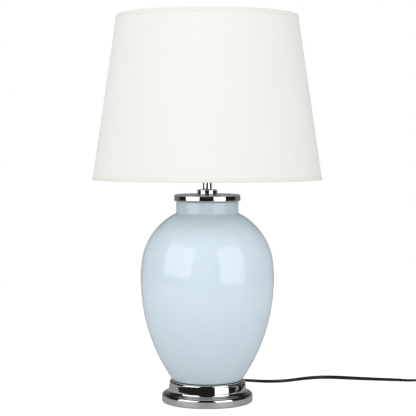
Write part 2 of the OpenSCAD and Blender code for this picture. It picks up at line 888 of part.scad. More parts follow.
module switch_screws() {
    color("silver") switch_posts(film + 0.1, film + 1.4, 2.3);
    color("silver") switch_posts(film + 0.1, film + switch_h - 5, 1.25);
}

module switch_contacts() {
    color("goldenrod") for (y = [-4, 4]) translate([switch_at[0] + 16, switch_at[1] + y - 1.5, 3])
        cube([switch_l - 32, 3, 0.8]);
}

// Plug: its body points away from the coil, with the pins along -Y
module plug_body() {
    front = plug_at[1] - plug_relief_l - plug_l;
    mid = film + plug_t / 2;
    color("black") union() {
        hull() for (x = [-plug_w / 2 + 5, plug_w / 2 - 5])
            translate([plug_at[0] + x, front, mid]) rotate([-90, 0, 0]) {
                translate([0, 0, 0.6]) cylinder(r = plug_t / 2, h = plug_l * 0.5, $fn = 32);
                cylinder(r = plug_t / 2 - 0.6, h = plug_l * 0.5, $fn = 32);
                translate([x > 0 ? -7 : 7, 0, 0]) cylinder(r = plug_t / 2 - 1, h = plug_l, $fn = 32);
            }
        hull() {
            translate([plug_at[0], front + plug_l - 1, mid]) rotate([-90, 0, 0])
                cylinder(r = 5, h = 1, $fn = 32);
            translate([plug_at[0], plug_at[1] - 0.5, mid]) rotate([-90, 0, 0])
                cylinder(r = 3.6, h = 0.5, $fn = 32);
        }
    }
}

module plug_sleeves() {
    front = plug_at[1] - plug_relief_l - plug_l;
    color("black") for (x = [-1, 1] * pin_spacing / 2)
        translate([plug_at[0] + x, front, film + plug_t / 2]) rotate([90, 0, 0]) difference() {
            cylinder(r = sleeve_r, h = sleeve_l);
            translate([0, 0, -1]) cylinder(r = core_r, h = sleeve_l + 2);
        }
}

module plug_pins() {
    front = plug_at[1] - plug_relief_l - plug_l;
    color("silver") for (x = [-1, 1] * pin_spacing / 2)
        translate([plug_at[0] + x, front, film + plug_t / 2]) rotate([90, 0, 0]) {
            cylinder(r = core_r, h = sleeve_l + 1);
            translate([0, 0, sleeve_l]) cylinder(r = pin_r, h = pin_l - sleeve_l - 1);
            translate([0, 0, pin_l - 1]) cylinder(r1 = pin_r, r2 = pin_r - 1, h = 1);
        }
}

felt_pad();
base_plate();
base_ballast();
base_shell();
seat_washer();
ceramic_jar();
neck_washer();
neck_cap();
stem_disc();
stem_tube();
threaded_rod();
rod_washer();
rod_nut();
flex_clamp();
clamp_screws();
strain_relief();
inner_flex();
live_core();
neutral_core();
holder_cap();
holder_body();
terminal_block();
terminal_screws();
thread_shell();
centre_contact();
shade_clamp_ring();
bulb_glass();
bulb_screw_cap();
bulb_insulator();
bulb_tip();
shade_fabric();
shade_lining();
shade_top_hem();
shade_low_hem();
shade_top_wire();
shade_low_wire();
shade_arms();
shade_carrier();
flex_run();
flex_link();
flex_coil();
flex_tail();
flex_tie();
switch_base();
switch_cover();
switch_rocker();
switch_screws();
switch_contacts();
plug_body();
plug_sleeves();
plug_pins();
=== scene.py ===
"""A table lamp: glazed ginger-jar body on a polished base, under a tapered fabric shade.

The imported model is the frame. Each operator builds one piece, or one group of like pieces, round it.
"""

import json
import math

import bmesh
import bpy
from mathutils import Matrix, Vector


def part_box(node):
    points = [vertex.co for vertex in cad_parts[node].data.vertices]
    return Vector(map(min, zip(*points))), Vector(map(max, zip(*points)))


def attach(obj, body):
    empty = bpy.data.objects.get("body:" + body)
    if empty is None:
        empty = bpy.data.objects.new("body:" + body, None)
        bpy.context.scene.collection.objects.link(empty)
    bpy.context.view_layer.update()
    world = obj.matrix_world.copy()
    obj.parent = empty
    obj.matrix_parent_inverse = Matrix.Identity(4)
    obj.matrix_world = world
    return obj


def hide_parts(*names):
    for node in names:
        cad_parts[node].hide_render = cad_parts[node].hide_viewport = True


bl_info = {
    "name": "Ginger-jar table lamp",
    "version": (1, 0, 0),
    "blender": (4, 5, 0),
    "location": "View3D > Sidebar > Lamp",
    "description": "Builds a table lamp with its shade, bulb, flex, switch and plug round its CAD frame",
    "category": "Object",
}

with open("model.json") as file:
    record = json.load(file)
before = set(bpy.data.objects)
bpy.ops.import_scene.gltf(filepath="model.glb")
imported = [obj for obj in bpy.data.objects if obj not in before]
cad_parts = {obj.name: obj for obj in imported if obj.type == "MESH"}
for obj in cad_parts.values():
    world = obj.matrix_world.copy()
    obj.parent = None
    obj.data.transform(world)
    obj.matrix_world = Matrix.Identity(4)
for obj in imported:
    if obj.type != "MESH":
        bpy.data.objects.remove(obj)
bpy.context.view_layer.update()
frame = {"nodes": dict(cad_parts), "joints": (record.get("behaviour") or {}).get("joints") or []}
MM = 0.001


# ---------------------------------------------------------------- settings


def size(label, text, millimetres):
    """A length property. It is given in millimetres, and Blender holds it in metres."""
    return bpy.props.FloatProperty(
        name=label, description=text, default=millimetres * MM, min=0, unit="LENGTH", precision=5)


def finish(label, text, value):
    """A property from 0 to 1, such as a roughness."""
    return bpy.props.FloatProperty(
        name=label, description=text, default=value, min=0, max=1, subtype="FACTOR")


def tint(label, text, code):
    """A colour property from its sRGB hex code."""
    return bpy.props.FloatVectorProperty(
        name=label, description=text, default=linear(code)[:3], min=0, max=1, subtype="COLOR")


def linear(code):
    """The linear colour of an sRGB hex code, with an alpha of 1."""
    parts = [int(code[i:i + 2], 16) / 255 for i in (1, 3, 5)]
    return [c / 12.92 if c <= 0.04045 else ((c + 0.055) / 1.055) ** 2.4 for c in parts] + [1.0]


class LampBaseSettings(bpy.types.PropertyGroup):
    """Sizes of the polished base that the frame's boxes don't give."""
    flange_z: size("Flange height", "Height of the top of the lower flange", 14.5)
    flange_round: size("Flange rounding", "Rounding of the flange's upper edge", 5)
    rim_round: size("Rim rounding", "Rounding of the flange's lower edge", 2.5)
    collar_foot_r: size("Collar foot", "Radius of the collar where it meets the flange", 56.5)
    collar_top_r: size("Collar top", "Radius of the collar at its top", 55.2)
    collar_round: size("Collar rounding", "Rounding of the collar's upper edge", 3)
    cove_r: size("Cove", "Radius of the cove between the flange and the collar", 4)
    wall: size("Wall", "Wall of the base shell", 1.6)
    rod_hole_r: size("Rod hole", "Radius of the hole that the rod passes through", 5.2)


class LampJarSettings(bpy.types.PropertyGroup):
    """Sizes of the ceramic jar."""
    foot_r: size("Foot", "Radius of the jar's foot", 50.8)
    foot_round: size("Foot rounding", "Rounding of the foot's edge", 0.8)
    foot_ring_w: size("Foot ring", "Width of the unglazed ring that the jar stands on", 8)
    foot_recess: size("Foot recess", "Depth of the hollow under the foot", 1.5)
    belly_h: size("Belly height", "Height of the widest point above the foot", 145)
    shoulder_deg: bpy.props.FloatProperty(
        name="Shoulder angle", default=5.5,
        description="Angle above the widest point where the shoulder starts, in degrees")
    shoulder_h: size("Shoulder height", "Height of the bottom of the neck above the foot", 242.4)
    neck_r: size("Neck", "Radius of the neck", 45.1)
    lip_round: size("Lip rounding", "Rounding of the neck's lip", 1.5)
    wall: size("Wall", "Wall of the jar", 5)
    floor_t: size("Floor", "Thickness of the jar's floor", 6)
    hole_r: size("Hole", "Radius of the hole in the floor", 6)


class LampStemSettings(bpy.types.PropertyGroup):
    """Sizes of the cap on the neck, the disc and the stem tube."""
    cap_round: size("Cap rounding", "Rounding of the cap's upper edge", 2.5)
    cap_low_round: size("Cap lower rounding", "Rounding of the cap's lower edge", 1.5)
    spigot_wall: size("Spigot wall", "Wall of the spigot that centres the cap in the neck", 2)
    spigot_r: size("Spigot", "Outside radius of the spigot", 39.8)
    disc_round: size("Disc rounding", "Rounding of the small disc's upper edge", 1)
    rod_hole_r: size("Rod hole", "Radius of the hole that the rod passes through", 5.2)


class LampHolderSettings(bpy.types.PropertyGroup):
    """Sizes of the lamp holder and of the ring that clamps the shade."""
    thread_pitch: size("Pitch", "Pitch of the holder's outer thread", 2.6)
    thread_depth: size("Thread depth", "Depth of the holder's outer thread", 0.6)
    bore_r: size("Bore", "Radius of the holder's bore", 14.1)
    grips: bpy.props.IntProperty(
        name="Grips", description="Number of flutes round the clamping ring", default=24, min=6)
    grip_depth: size("Grip depth", "Depth of a flute", 0.9)


class LampBulbSettings(bpy.types.PropertyGroup):
    """Sizes of the bulb."""
    neck_r: size("Glass neck", "Radius of the glass where it enters the cap", 12.5)
    cap_r: size("Cap", "Radius of the screw cap at the bottom of its thread", 12.2)
    thread_pitch: size("Pitch", "Pitch of the screw cap's rolled thread", 3.6)
    thread_depth: size("Thread depth", "Depth of the rolled thread", 0.9)


class LampShadeSettings(bpy.types.PropertyGroup):
    """Sizes of the shade and its wire frame."""
    fabric_t: size("Fabric", "Thickness of the fabric", 0.6)
    lining_t: size("Lining", "Thickness of the stiff lining", 0.6)
    top_r: size("Top", "Outside radius of the fabric at the top edge", 131)
    wire_r: size("Wire", "Radius of the wire of the rings and arms", 1.75)
    hem_h: size("Hem", "Height of the hem tapes", 6)
    hem_t: size("Tape", "Thickness of the hem tapes", 0.4)
    seam_w: size("Seam", "Width of the overlap where the panel's ends are glued", 12)
    arms: bpy.props.IntProperty(name="Arms", description="Number of arms", default=3, min=2)


class LampFlexSettings(bpy.types.PropertyGroup):
    """Sizes of the flat flex and its coil."""
    width: size("Width", "Width of the flat flex", 5.6)
    thickness: size("Thickness", "Thickness of the flat flex", 3.6)
    coil_r: size("Coil", "Radius of the coil at the middle of its turns", 31)
    row_gap: size("Row gap", "Distance between turns beside each other", 3.8)
    layer_gap: size("Layer gap", "Distance between turns on each other", 5.8)


class LampFinishSettings(bpy.types.PropertyGroup):
    """Colours and finishes that a user would change."""
    glaze: tint("Glaze", "Colour of the jar's glaze", "#D5E4EC")
    fabric: tint("Fabric", "Colour of the shade's fabric", "#E9E9E3")
    tape: tint("Hem tape", "Colour of the hem tapes", "#E7E7DF")
    metal: tint("Metal", "Colour of the polished plating", "#D2D0CD")
    polish: finish("Polish", "Roughness of the polished plating", 0.035)
    black: tint("Black", "Colour of the black mouldings", "#1A1A1C")


SETTINGS = {
    "lamp_base": LampBaseSettings, "lamp_jar": LampJarSettings, "lamp_stem": LampStemSettings,
    "lamp_holder": LampHolderSettings, "lamp_bulb": LampBulbSettings,
    "lamp_shade": LampShadeSettings, "lamp_flex": LampFlexSettings,
    "lamp_finish": LampFinishSettings,
}


# ---------------------------------------------------------------- places from the frame


BOXES = {}


def box(node):
    """The lowest and highest corner of a CAD node, measured once."""
    if node not in BOXES:
        BOXES[node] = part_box(node)
    return BOXES[node]


def low_z(node):
    """Height of a CAD node's lowest point."""
    return box(node)[0].z


def high_z(node):
    """Height of a CAD node's highest point."""
    return box(node)[1].z


def reach(node):
    """Outside radius of a CAD node that is turned about the lamp's axis."""
    low, high = box(node)
    return (high.x - low.x) / 2


# ---------------------------------------------------------------- outlines and meshes


def arc(centre, radius, start, end, steps=8):
    """Points of an arc, with angles in degrees from the outward direction."""
    turns = [math.radians(start + (end - start) * i / steps) for i in range(steps + 1)]
    return [(centre[0] + radius * math.cos(a), centre[1] + radius * math.sin(a)) for a in turns]


def line(start, end, step):
    """Points of a straight stretch, no further apart than a step, without its last point."""
    count = max(1, math.ceil(math.dist(start, end) / step))
    return [tuple(a + (b - a) * i / count for a, b in zip(start, end)) for i in range(count)]


def bend(start, pull_start, pull_end, end, steps=16):
    """Points of a cubic curve with the given end points and handles."""
    points = []
    for i in range(steps + 1):
        t = i / steps
        s = 1 - t
        points.append(tuple(
            s ** 3 * a + 3 * s * s * t * b + 3 * s * t * t * c + t ** 3 * d
            for a, b, c, d in zip(start, pull_start, pull_end, end)))
    return points


def ring_section(inner, outer, low, high, rounding):
    """Outline of a flat ring with eased outer corners."""
    foot, brow = (outer, low + rounding), (outer, high - rounding)
    return [(inner, low), *arc((outer - rounding, low + rounding), rounding, -90, 0, 4),
            *line(foot, brow, 2 * MM)[1:],
            *arc((outer - rounding, high - rounding), rounding, 0, 90, 4), (inner, high)]


def smooth(mesh, degrees=35):
    """Shades a mesh smooth, with its edges sharper than an angle kept crisp."""
    mesh.shade_smooth()
    mesh.set_sharp_from_angle(angle=math.radians(degrees))


def place(name, mesh, body, slot, *nodes):
    """Links a finished mesh as a piece that rides on a body, fills a slot and stands for CAD nodes."""
    piece = bpy.data.objects.new(name, mesh)
    bpy.context.scene.collection.objects.link(piece)
    if not mesh.materials:
        mesh.materials.append(material_for(slot))
    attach(piece, body)
    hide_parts(*nodes)
    return piece


def turn_piece(name, outline, body, slot, node, closed=True, **values):
    """A piece turned from its outline about the lamp's axis."""
    return place(name, turned(outline, slot, closed, **values), body, slot, node)


def ring_piece(name, inner, body, slot, node, rounding=0.3 * MM, **values):
    """A flat ring that fills a CAD node, round a hole of a given radius."""
    section = ring_section(inner, reach(node), low_z(node), high_z(node), rounding)
    return turn_piece(name, section, body, slot, node, **values)


def loft(loops, closed=False):
    """A mesh through loops of equal length: closed joins the last loop to the first."""
    mesh = bpy.data.meshes.new("loft")
    shape = bmesh.new()
    rows = [[shape.verts.new(p) for p in loop] for loop in loops]
    count = len(rows[0])
    pairs = list(zip(rows, rows[1:] + rows[:1] if closed else rows[1:]))
    for a, b in pairs:
        for k in range(count):
            shape.faces.new((a[k], a[(k + 1) % count], b[(k + 1) % count], b[k]))
    if not closed:
        shape.faces.new(rows[0][::-1])
        shape.faces.new(rows[-1])
    bmesh.ops.recalc_face_normals(shape, faces=shape.faces)
    shape.to_mesh(mesh)
    shape.free()
    smooth(mesh)
    return mesh


def rounded_loop(centre, half_x, half_y, corner, height, steps=8):
    """A rounded rectangle in a level plane, as a closed loop of points."""
    points = []
    for sx, sy, start in ((1, 1, 0), (-1, 1, 90), (-1, -1, 180), (1, -1, 270)):
        for i in range(steps + 1):
            a = math.radians(start + 90 * i / steps)
            points.append((centre[0] + sx * (half_x - corner) + corner * math.cos(a),
                           centre[1] + sy * (half_y - corner) + corner * math.sin(a), height))
    return points


# ---------------------------------------------------------------- node trees


def add(tree, kind, values=None, links=None, **settings):
    """Adds a node with its settings, input values and links."""
    node = tree.nodes.new(kind)
    for key, value in settings.items():
        setattr(node, key, value)
    for key, value in (values or {}).items():
        node.inputs[key].default_value = value
    for key, output in (links or {}).items():
        tree.links.new(output, node.inputs[key])
    return node


def start_tree(name, sockets):
    """A geometry node tree with named inputs, and its input node."""
    tree = bpy.data.node_groups.new(name, "GeometryNodeTree")
    tree.interface.new_socket("Geometry", in_out="INPUT", socket_type="NodeSocketGeometry")
    for label, kind, value in sockets:
        socket = tree.interface.new_socket(label, in_out="INPUT", socket_type=kind)
        if value is not None:
            socket.default_value = value
    tree.interface.new_socket("Geometry", in_out="OUTPUT", socket_type="NodeSocketGeometry")
    return tree, add(tree, "NodeGroupInput")


def end_tree(tree, start, geometry):
    """Ends a tree in Realize Instances and Set Material."""
    real = add(tree, "GeometryNodeRealizeInstances", links={"Geometry": geometry})
    painted = add(tree, "GeometryNodeSetMaterial",
                  links={"Geometry": real.outputs[0], "Material": start.outputs["Material"]})
    add(tree, "NodeGroupOutput", links={"Geometry": painted.outputs[0]})
    return tree


def turned_tree():
    """Turns an outline (radius, height) about the Z axis, and cuts a thread, ribs or flutes in it.

    A lead of 1 gives a thread, and a lead of 0 gives ribs. Grips are flutes along the axis."""
    length = "NodeSocketFloat"
    tree, start = start_tree("Turned piece", [
        ("Steps", "NodeSocketInt", 192), ("Wheel", length, 1.0),
        ("Thread Low", length, 0.0), ("Thread High", length, 0.0), ("Pitch", length, 0.001),
        ("Thread Depth", length, 0.0), ("Lead", length, 0.0),
        ("Grip Low", length, 0.0), ("Grip High", length, 0.0), ("Grips", length, 0.0),
        ("Grip Depth", length, 0.0), ("Beyond Radius", length, 0.0), ("Fade", length, 0.0008),
        ("Material", "NodeSocketMaterial", None)])
    given = start.outputs

    def maths(operation, *terms):
        node = add(tree, "ShaderNodeMath", operation=operation)
        for i, term in enumerate(terms):
            if isinstance(term, (int, float)):
                node.inputs[i].default_value = term
            else:
                tree.links.new(term, node.inputs[i])
        return node.outputs[0]

    def ramp(value, low, high):
        node = add(tree, "ShaderNodeMapRange", links={"Value": value, "From Min": low, "From Max": high},
                   interpolation_type="SMOOTHSTEP")
        return node.outputs[0]

    # The outline is moved in by the wheel's radius, and swept round the wheel
    inward = add(tree, "ShaderNodeCombineXYZ", links={"X": maths("MULTIPLY", given["Wheel"], -1.0)})
    moved_in = add(tree, "GeometryNodeTransform", {"Rotation": (math.pi, 0, 0)},
                   {"Geometry": given["Geometry"], "Translation": inward.outputs[0]})
    outline = add(tree, "GeometryNodeMeshToCurve", links={"Mesh": moved_in.outputs[0]})
    wheel = add(tree, "GeometryNodeCurvePrimitiveCircle",
                links={"Resolution": given["Steps"], "Radius": given["Wheel"]})
    swept = add(tree, "GeometryNodeCurveToMesh",
                links={"Curve": wheel.outputs[0], "Profile Curve": outline.outputs[0]})
    merged = add(tree, "GeometryNodeMergeByDistance", {"Distance": 0.000004},
                 {"Geometry": swept.outputs[0]})

    # Height, radius and angle of each point
    at = add(tree, "GeometryNodeInputPosition")
    axes = add(tree, "ShaderNodeSeparateXYZ", links={"Vector": at.outputs[0]})
    x, y, z = axes.outputs
    radius = maths("SQRT", maths("ADD", maths("MULTIPLY", x, x), maths("MULTIPLY", y, y)))
    turn = maths("DIVIDE", maths("ARCTAN2", y, x), math.tau)
    outside = maths("GREATER_THAN", radius, given["Beyond Radius"])

    # The thread or the ribs: a rounded wave along the axis, faded out at both ends
    phase = maths("ADD", maths("DIVIDE", z, given["Pitch"]), maths("MULTIPLY", turn, given["Lead"]))
    wave = maths("MULTIPLY_ADD", maths("COSINE", maths("MULTIPLY", phase, math.tau)), 0.5, 0.5)
    thread_in = ramp(z, given["Thread Low"], maths("ADD", given["Thread Low"], given["Fade"]))
    thread_out = ramp(z, given["Thread High"], maths("SUBTRACT", given["Thread High"], given["Fade"]))
    thread = maths("MULTIPLY", maths("MULTIPLY", wave, maths("MULTIPLY", thread_in, thread_out)),
                   given["Thread Depth"])

    # The grips: round flutes cut in along the axis
    flute = maths("COSINE", maths("MULTIPLY", maths("MULTIPLY", turn, given["Grips"]), math.tau))
    flute = maths("POWER", maths("MULTIPLY_ADD", flute, 0.5, 0.5), 1.6)
    grip_in = ramp(z, given["Grip Low"], maths("ADD", given["Grip Low"], given["Fade"]))
    grip_out = ramp(z, given["Grip High"], maths("ADD", given["Grip High"], given["Fade"]))
    grip_mask = maths("SUBTRACT", grip_in, grip_out)
    grip = maths("MULTIPLY", maths("MULTIPLY", flute, grip_mask), given["Grip Depth"])

    lift = maths("MULTIPLY", maths("SUBTRACT", thread, grip), outside)
    level = add(tree, "ShaderNodeCombineXYZ", links={"X": x, "Y": y})
    outward = add(tree, "ShaderNodeVectorMath", links={0: level.outputs[0]}, operation="NORMALIZE")
    offset = add(tree, "ShaderNodeVectorMath", links={0: outward.outputs[0], "Scale": lift},
                 operation="SCALE")
    moved = add(tree, "GeometryNodeSetPosition",
                links={"Geometry": merged.outputs[0], "Offset": offset.outputs[0]})
    return end_tree(tree, start, moved.outputs[0])


def repeated_tree():
    """Repeats a mesh: a count of copies, each turned about Z and stepped on from the last."""
    tree, start = start_tree("Repeated piece", [
        ("Count", "NodeSocketInt", 3), ("Turn", "NodeSocketVector", (0, 0, 0)),
        ("Step", "NodeSocketVector", (0, 0, 0)), ("Material", "NodeSocketMaterial", None)])
    number = add(tree, "GeometryNodeInputIndex")
    spread = add(tree, "ShaderNodeVectorMath", links={0: start.outputs["Step"], "Scale": number.outputs[0]},
                 operation="SCALE")
    turns = add(tree, "ShaderNodeVectorMath", links={0: start.outputs["Turn"], "Scale": number.outputs[0]},
                operation="SCALE")
    points = add(tree, "GeometryNodePoints",
                 links={"Count": start.outputs["Count"], "Position": spread.outputs[0]})
    copies = add(tree, "GeometryNodeInstanceOnPoints",
                 links={"Points": points.outputs[0], "Instance": start.outputs["Geometry"],
                        "Rotation": turns.outputs[0]})
    return end_tree(tree, start, copies.outputs[0])


def grow(tree, mesh, values):
    """The plain mesh that a node tree makes from a mesh. Inputs are set by their identifiers."""
    source = bpy.data.objects.new("source", mesh)
    bpy.context.scene.collection.objects.link(source)
    modifier = source.modifiers.new("Shape", "NODES")
    modifier.node_group = tree
    for item in tree.interface.items_tree:
        if item.in_out == "INPUT" and item.name in values:
            modifier[item.identifier] = values[item.name]
    bpy.context.view_layer.update()
    shown = source.evaluated_get(bpy.context.evaluated_depsgraph_get())
    made = bpy.data.meshes.new_from_object(shown)
    bpy.data.objects.remove(source)
    if not made.polygons:
        raise RuntimeError(f"{tree.name} made no faces")
    return made


TREES = {}


def tree_named(key, maker):
    """A node tree, made once."""
    if key not in TREES:
        TREES[key] = maker()
    return TREES[key]


def outline_mesh(points, closed=True):
    """The edges of an outline (radius, height), closed along the axis or on itself."""
    mesh = bpy.data.meshes.new("outline")
    count = len(points)
    edges = [(i, i + 1) for i in range(count - 1)]
    if closed:
        edges.append((count - 1, 0))
    mesh.from_pydata([(r, z, 0) for r, z in points], edges, [])
    return mesh


def turned(points, slot, closed=True, **values):
    """A mesh turned from an outline about the lamp's axis, in a slot's material."""
    values["Material"] = material_for(slot)
    mesh = grow(tree_named("turned", turned_tree), outline_mesh(points, closed), values)
    shape = bmesh.new()
    shape.from_mesh(mesh)
    bmesh.ops.recalc_face_normals(shape, faces=shape.faces)
    shape.to_mesh(mesh)
    shape.free()
    smooth(mesh)
    return mesh


def laid(mesh, origin, axis):
    """Lays a mesh that was turned about Z along another axis, from an origin."""
    turn = Vector((0, 0, 1)).rotation_difference(Vector(axis)).to_matrix().to_4x4()
    turn.translation = Vector(origin)
    mesh.transform(turn)
    return mesh


# ---------------------------------------------------------------- materials


METAL = {"Metallic": 1.0}
OPAL = {"IOR": 1.5, "Subsurface Weight": 0.35, "Subsurface Scale": 0.004, "Coat Weight": 0.2,
        "Coat Roughness": 0.08}
WAXY = {"IOR": 1.53, "Subsurface Weight": 0.1, "Subsurface Scale": 0.002}
GLAZE = {"IOR": 1.52, "Subsurface Weight": 0.06, "Subsurface Scale": 0.002}
CLOTH = {"IOR": 1.45, "Sheen Weight": 0.12, "Sheen Roughness": 0.5}
MATERIALS = {}


def start_material(name, colour, roughness, **inputs):
    """A Principled material with constants on the shader's own sockets."""
    material = bpy.data.materials.new(name)
    material.use_nodes = True
    shader = material.node_tree.nodes["Principled BSDF"]
    shader.inputs["Base Color"].default_value = colour
    shader.inputs["Roughness"].default_value = roughness
    for key, value in inputs.items():
        shader.inputs[key].default_value = value
    return material, material.node_tree, shader


def object_space(tree):
    """Object coordinates, which are metres from the frame's origin."""
    return add(tree, "ShaderNodeTexCoord").outputs["Object"]


def grain(tree, shader, space, grain_mm, depth_mm, roughness, shade_from=None, shade_to=None, detail=3):
    """Noise at a real grain size: relief, a spread of roughness, and a drift between two colours."""
    noise = add(tree, "ShaderNodeTexNoise", {"Scale": 1 / (grain_mm * MM), "Detail": detail},
                {"Vector": space})
    relief = add(tree, "ShaderNodeBump", {"Distance": depth_mm * MM, "Strength": 1.0},
                 {"Height": noise.outputs[0]})
    tree.links.new(relief.outputs[0], shader.inputs["Normal"])
    spread = add(tree, "ShaderNodeMapRange",
                 {"From Min": 0.3, "From Max": 0.7, "To Min": roughness[0], "To Max": roughness[1]},
                 {"Value": noise.outputs[0]})
    tree.links.new(spread.outputs[0], shader.inputs["Roughness"])
    if shade_from:
        drift = add(tree, "ShaderNodeMix", {"A": shade_from, "B": shade_to}, data_type="RGBA")
        tree.links.new(noise.outputs[0], drift.inputs["Factor"])
        tree.links.new(drift.outputs["Result"], shader.inputs["Base Color"])
    return noise


def scene_tint(name):
    """A colour of the finish settings, with its alpha."""
    return [*getattr(bpy.context.scene.lamp_finish, name), 1.0]


def shaded(colour, factor):
    """A colour made darker or lighter by a factor."""
    return [min(1.0, c * factor) for c in colour[:3]] + [1.0]


def polished_chrome():
    """Chromium plate on buffed steel: a near mirror with the faintest buffing marks."""
    polish = bpy.context.scene.lamp_finish.polish
    material, tree, shader = start_material(
        "polished_chrome_plate", scene_tint("metal"), polish, **METAL)
    grain(tree, shader, object_space(tree), 24, 0.003, (polish * 0.7, polish * 1.4), detail=0)
    return material


def celadon_glaze():
    """Fired glaze on white earthenware: a wet gloss with a slight waviness, and colour that pools."""
    colour = scene_tint("glaze")
    material, tree, shader = start_material("glazed_earthenware", colour, 0.07, **GLAZE)
    space = object_space(tree)
    grain(tree, shader, space, 45, 0.05, (0.06, 0.1), shaded(colour, 0.965), shaded(colour, 1.02), 2)
    # Pinholes of the glaze, 1 mm across and far apart
    speck = add(tree, "ShaderNodeTexVoronoi", {"Scale": 1 / (14 * MM)}, {"Vector": space})
    pin = add(tree, "ShaderNodeMapRange", {"From Min": 0.02, "From Max": 0.06, "To Min": 0.93},
              {"Value": speck.outputs["Distance"]})
    drift = shader.inputs["Base Color"].links[0].from_socket
    speckled = add(tree, "ShaderNodeVectorMath", links={0: drift, "Scale": pin.outputs[0]},
                   operation="SCALE")
    tree.links.new(speckled.outputs[0], shader.inputs["Base Color"])
    return material


def woven_shade_cloth():
    """Plain-woven polycotton bonded to its backing: dry and matt, with slubs along both threads.

    The real threads lie about 0.5 mm apart. They are drawn 1.3 mm apart, so that the weave shows."""
    colour = scene_tint("fabric")
    material, tree, shader = start_material("woven_polycotton", colour, 0.9, **CLOTH)
    where = add(tree, "ShaderNodeUVMap", uv_map="cloth")
    pitch = 1.3 * MM

    def threads(across, along):
        space = add(tree, "ShaderNodeMapping", {"Scale": (across, along, 1)}, {"Vector": where.outputs[0]})
        return add(tree, "ShaderNodeTexNoise", {"Scale": 1.0, "Detail": 2}, {"Vector": space.outputs[0]})

    warp = threads(1 / (1.6 * MM), 1 / (38 * MM))
    weft = threads(1 / (44 * MM), 1 / (1.8 * MM))
    axes = add(tree, "ShaderNodeSeparateXYZ", links={"Vector": where.outputs[0]})
    waves = []
    for axis in (0, 1):
        turn = add(tree, "ShaderNodeMath", {1: math.pi / pitch}, {0: axes.outputs[axis]},
                   operation="MULTIPLY")
        waves.append(add(tree, "ShaderNodeMath", links={0: turn.outputs[0]}, operation="SINE"))
    weave = add(tree, "ShaderNodeMath", links={0: waves[0].outputs[0], 1: waves[1].outputs[0]},
                operation="MULTIPLY")
    slubs = add(tree, "ShaderNodeMath", links={0: warp.outputs[0], 1: weft.outputs[0]}, operation="ADD")
    height = add(tree, "ShaderNodeMath", {1: 0.35}, {0: weave.outputs[0], 2: slubs.outputs[0]},
                 operation="MULTIPLY_ADD")
    relief = add(tree, "ShaderNodeBump", {"Distance": 0.045 * MM, "Strength": 0.8},
                 {"Height": height.outputs[0]})
    tree.links.new(relief.outputs[0], shader.inputs["Normal"])
    drift = add(tree, "ShaderNodeMapRange", {"From Min": 0.7, "From Max": 1.3}, {"Value": slubs.outputs[0]})
    tone = add(tree, "ShaderNodeMix", {"A": shaded(colour, 0.985), "B": shaded(colour, 1.01)},
               data_type="RGBA")
    tree.links.new(drift.outputs[0], tone.inputs["Factor"])
    tree.links.new(tone.outputs["Result"], shader.inputs["Base Color"])
    return material


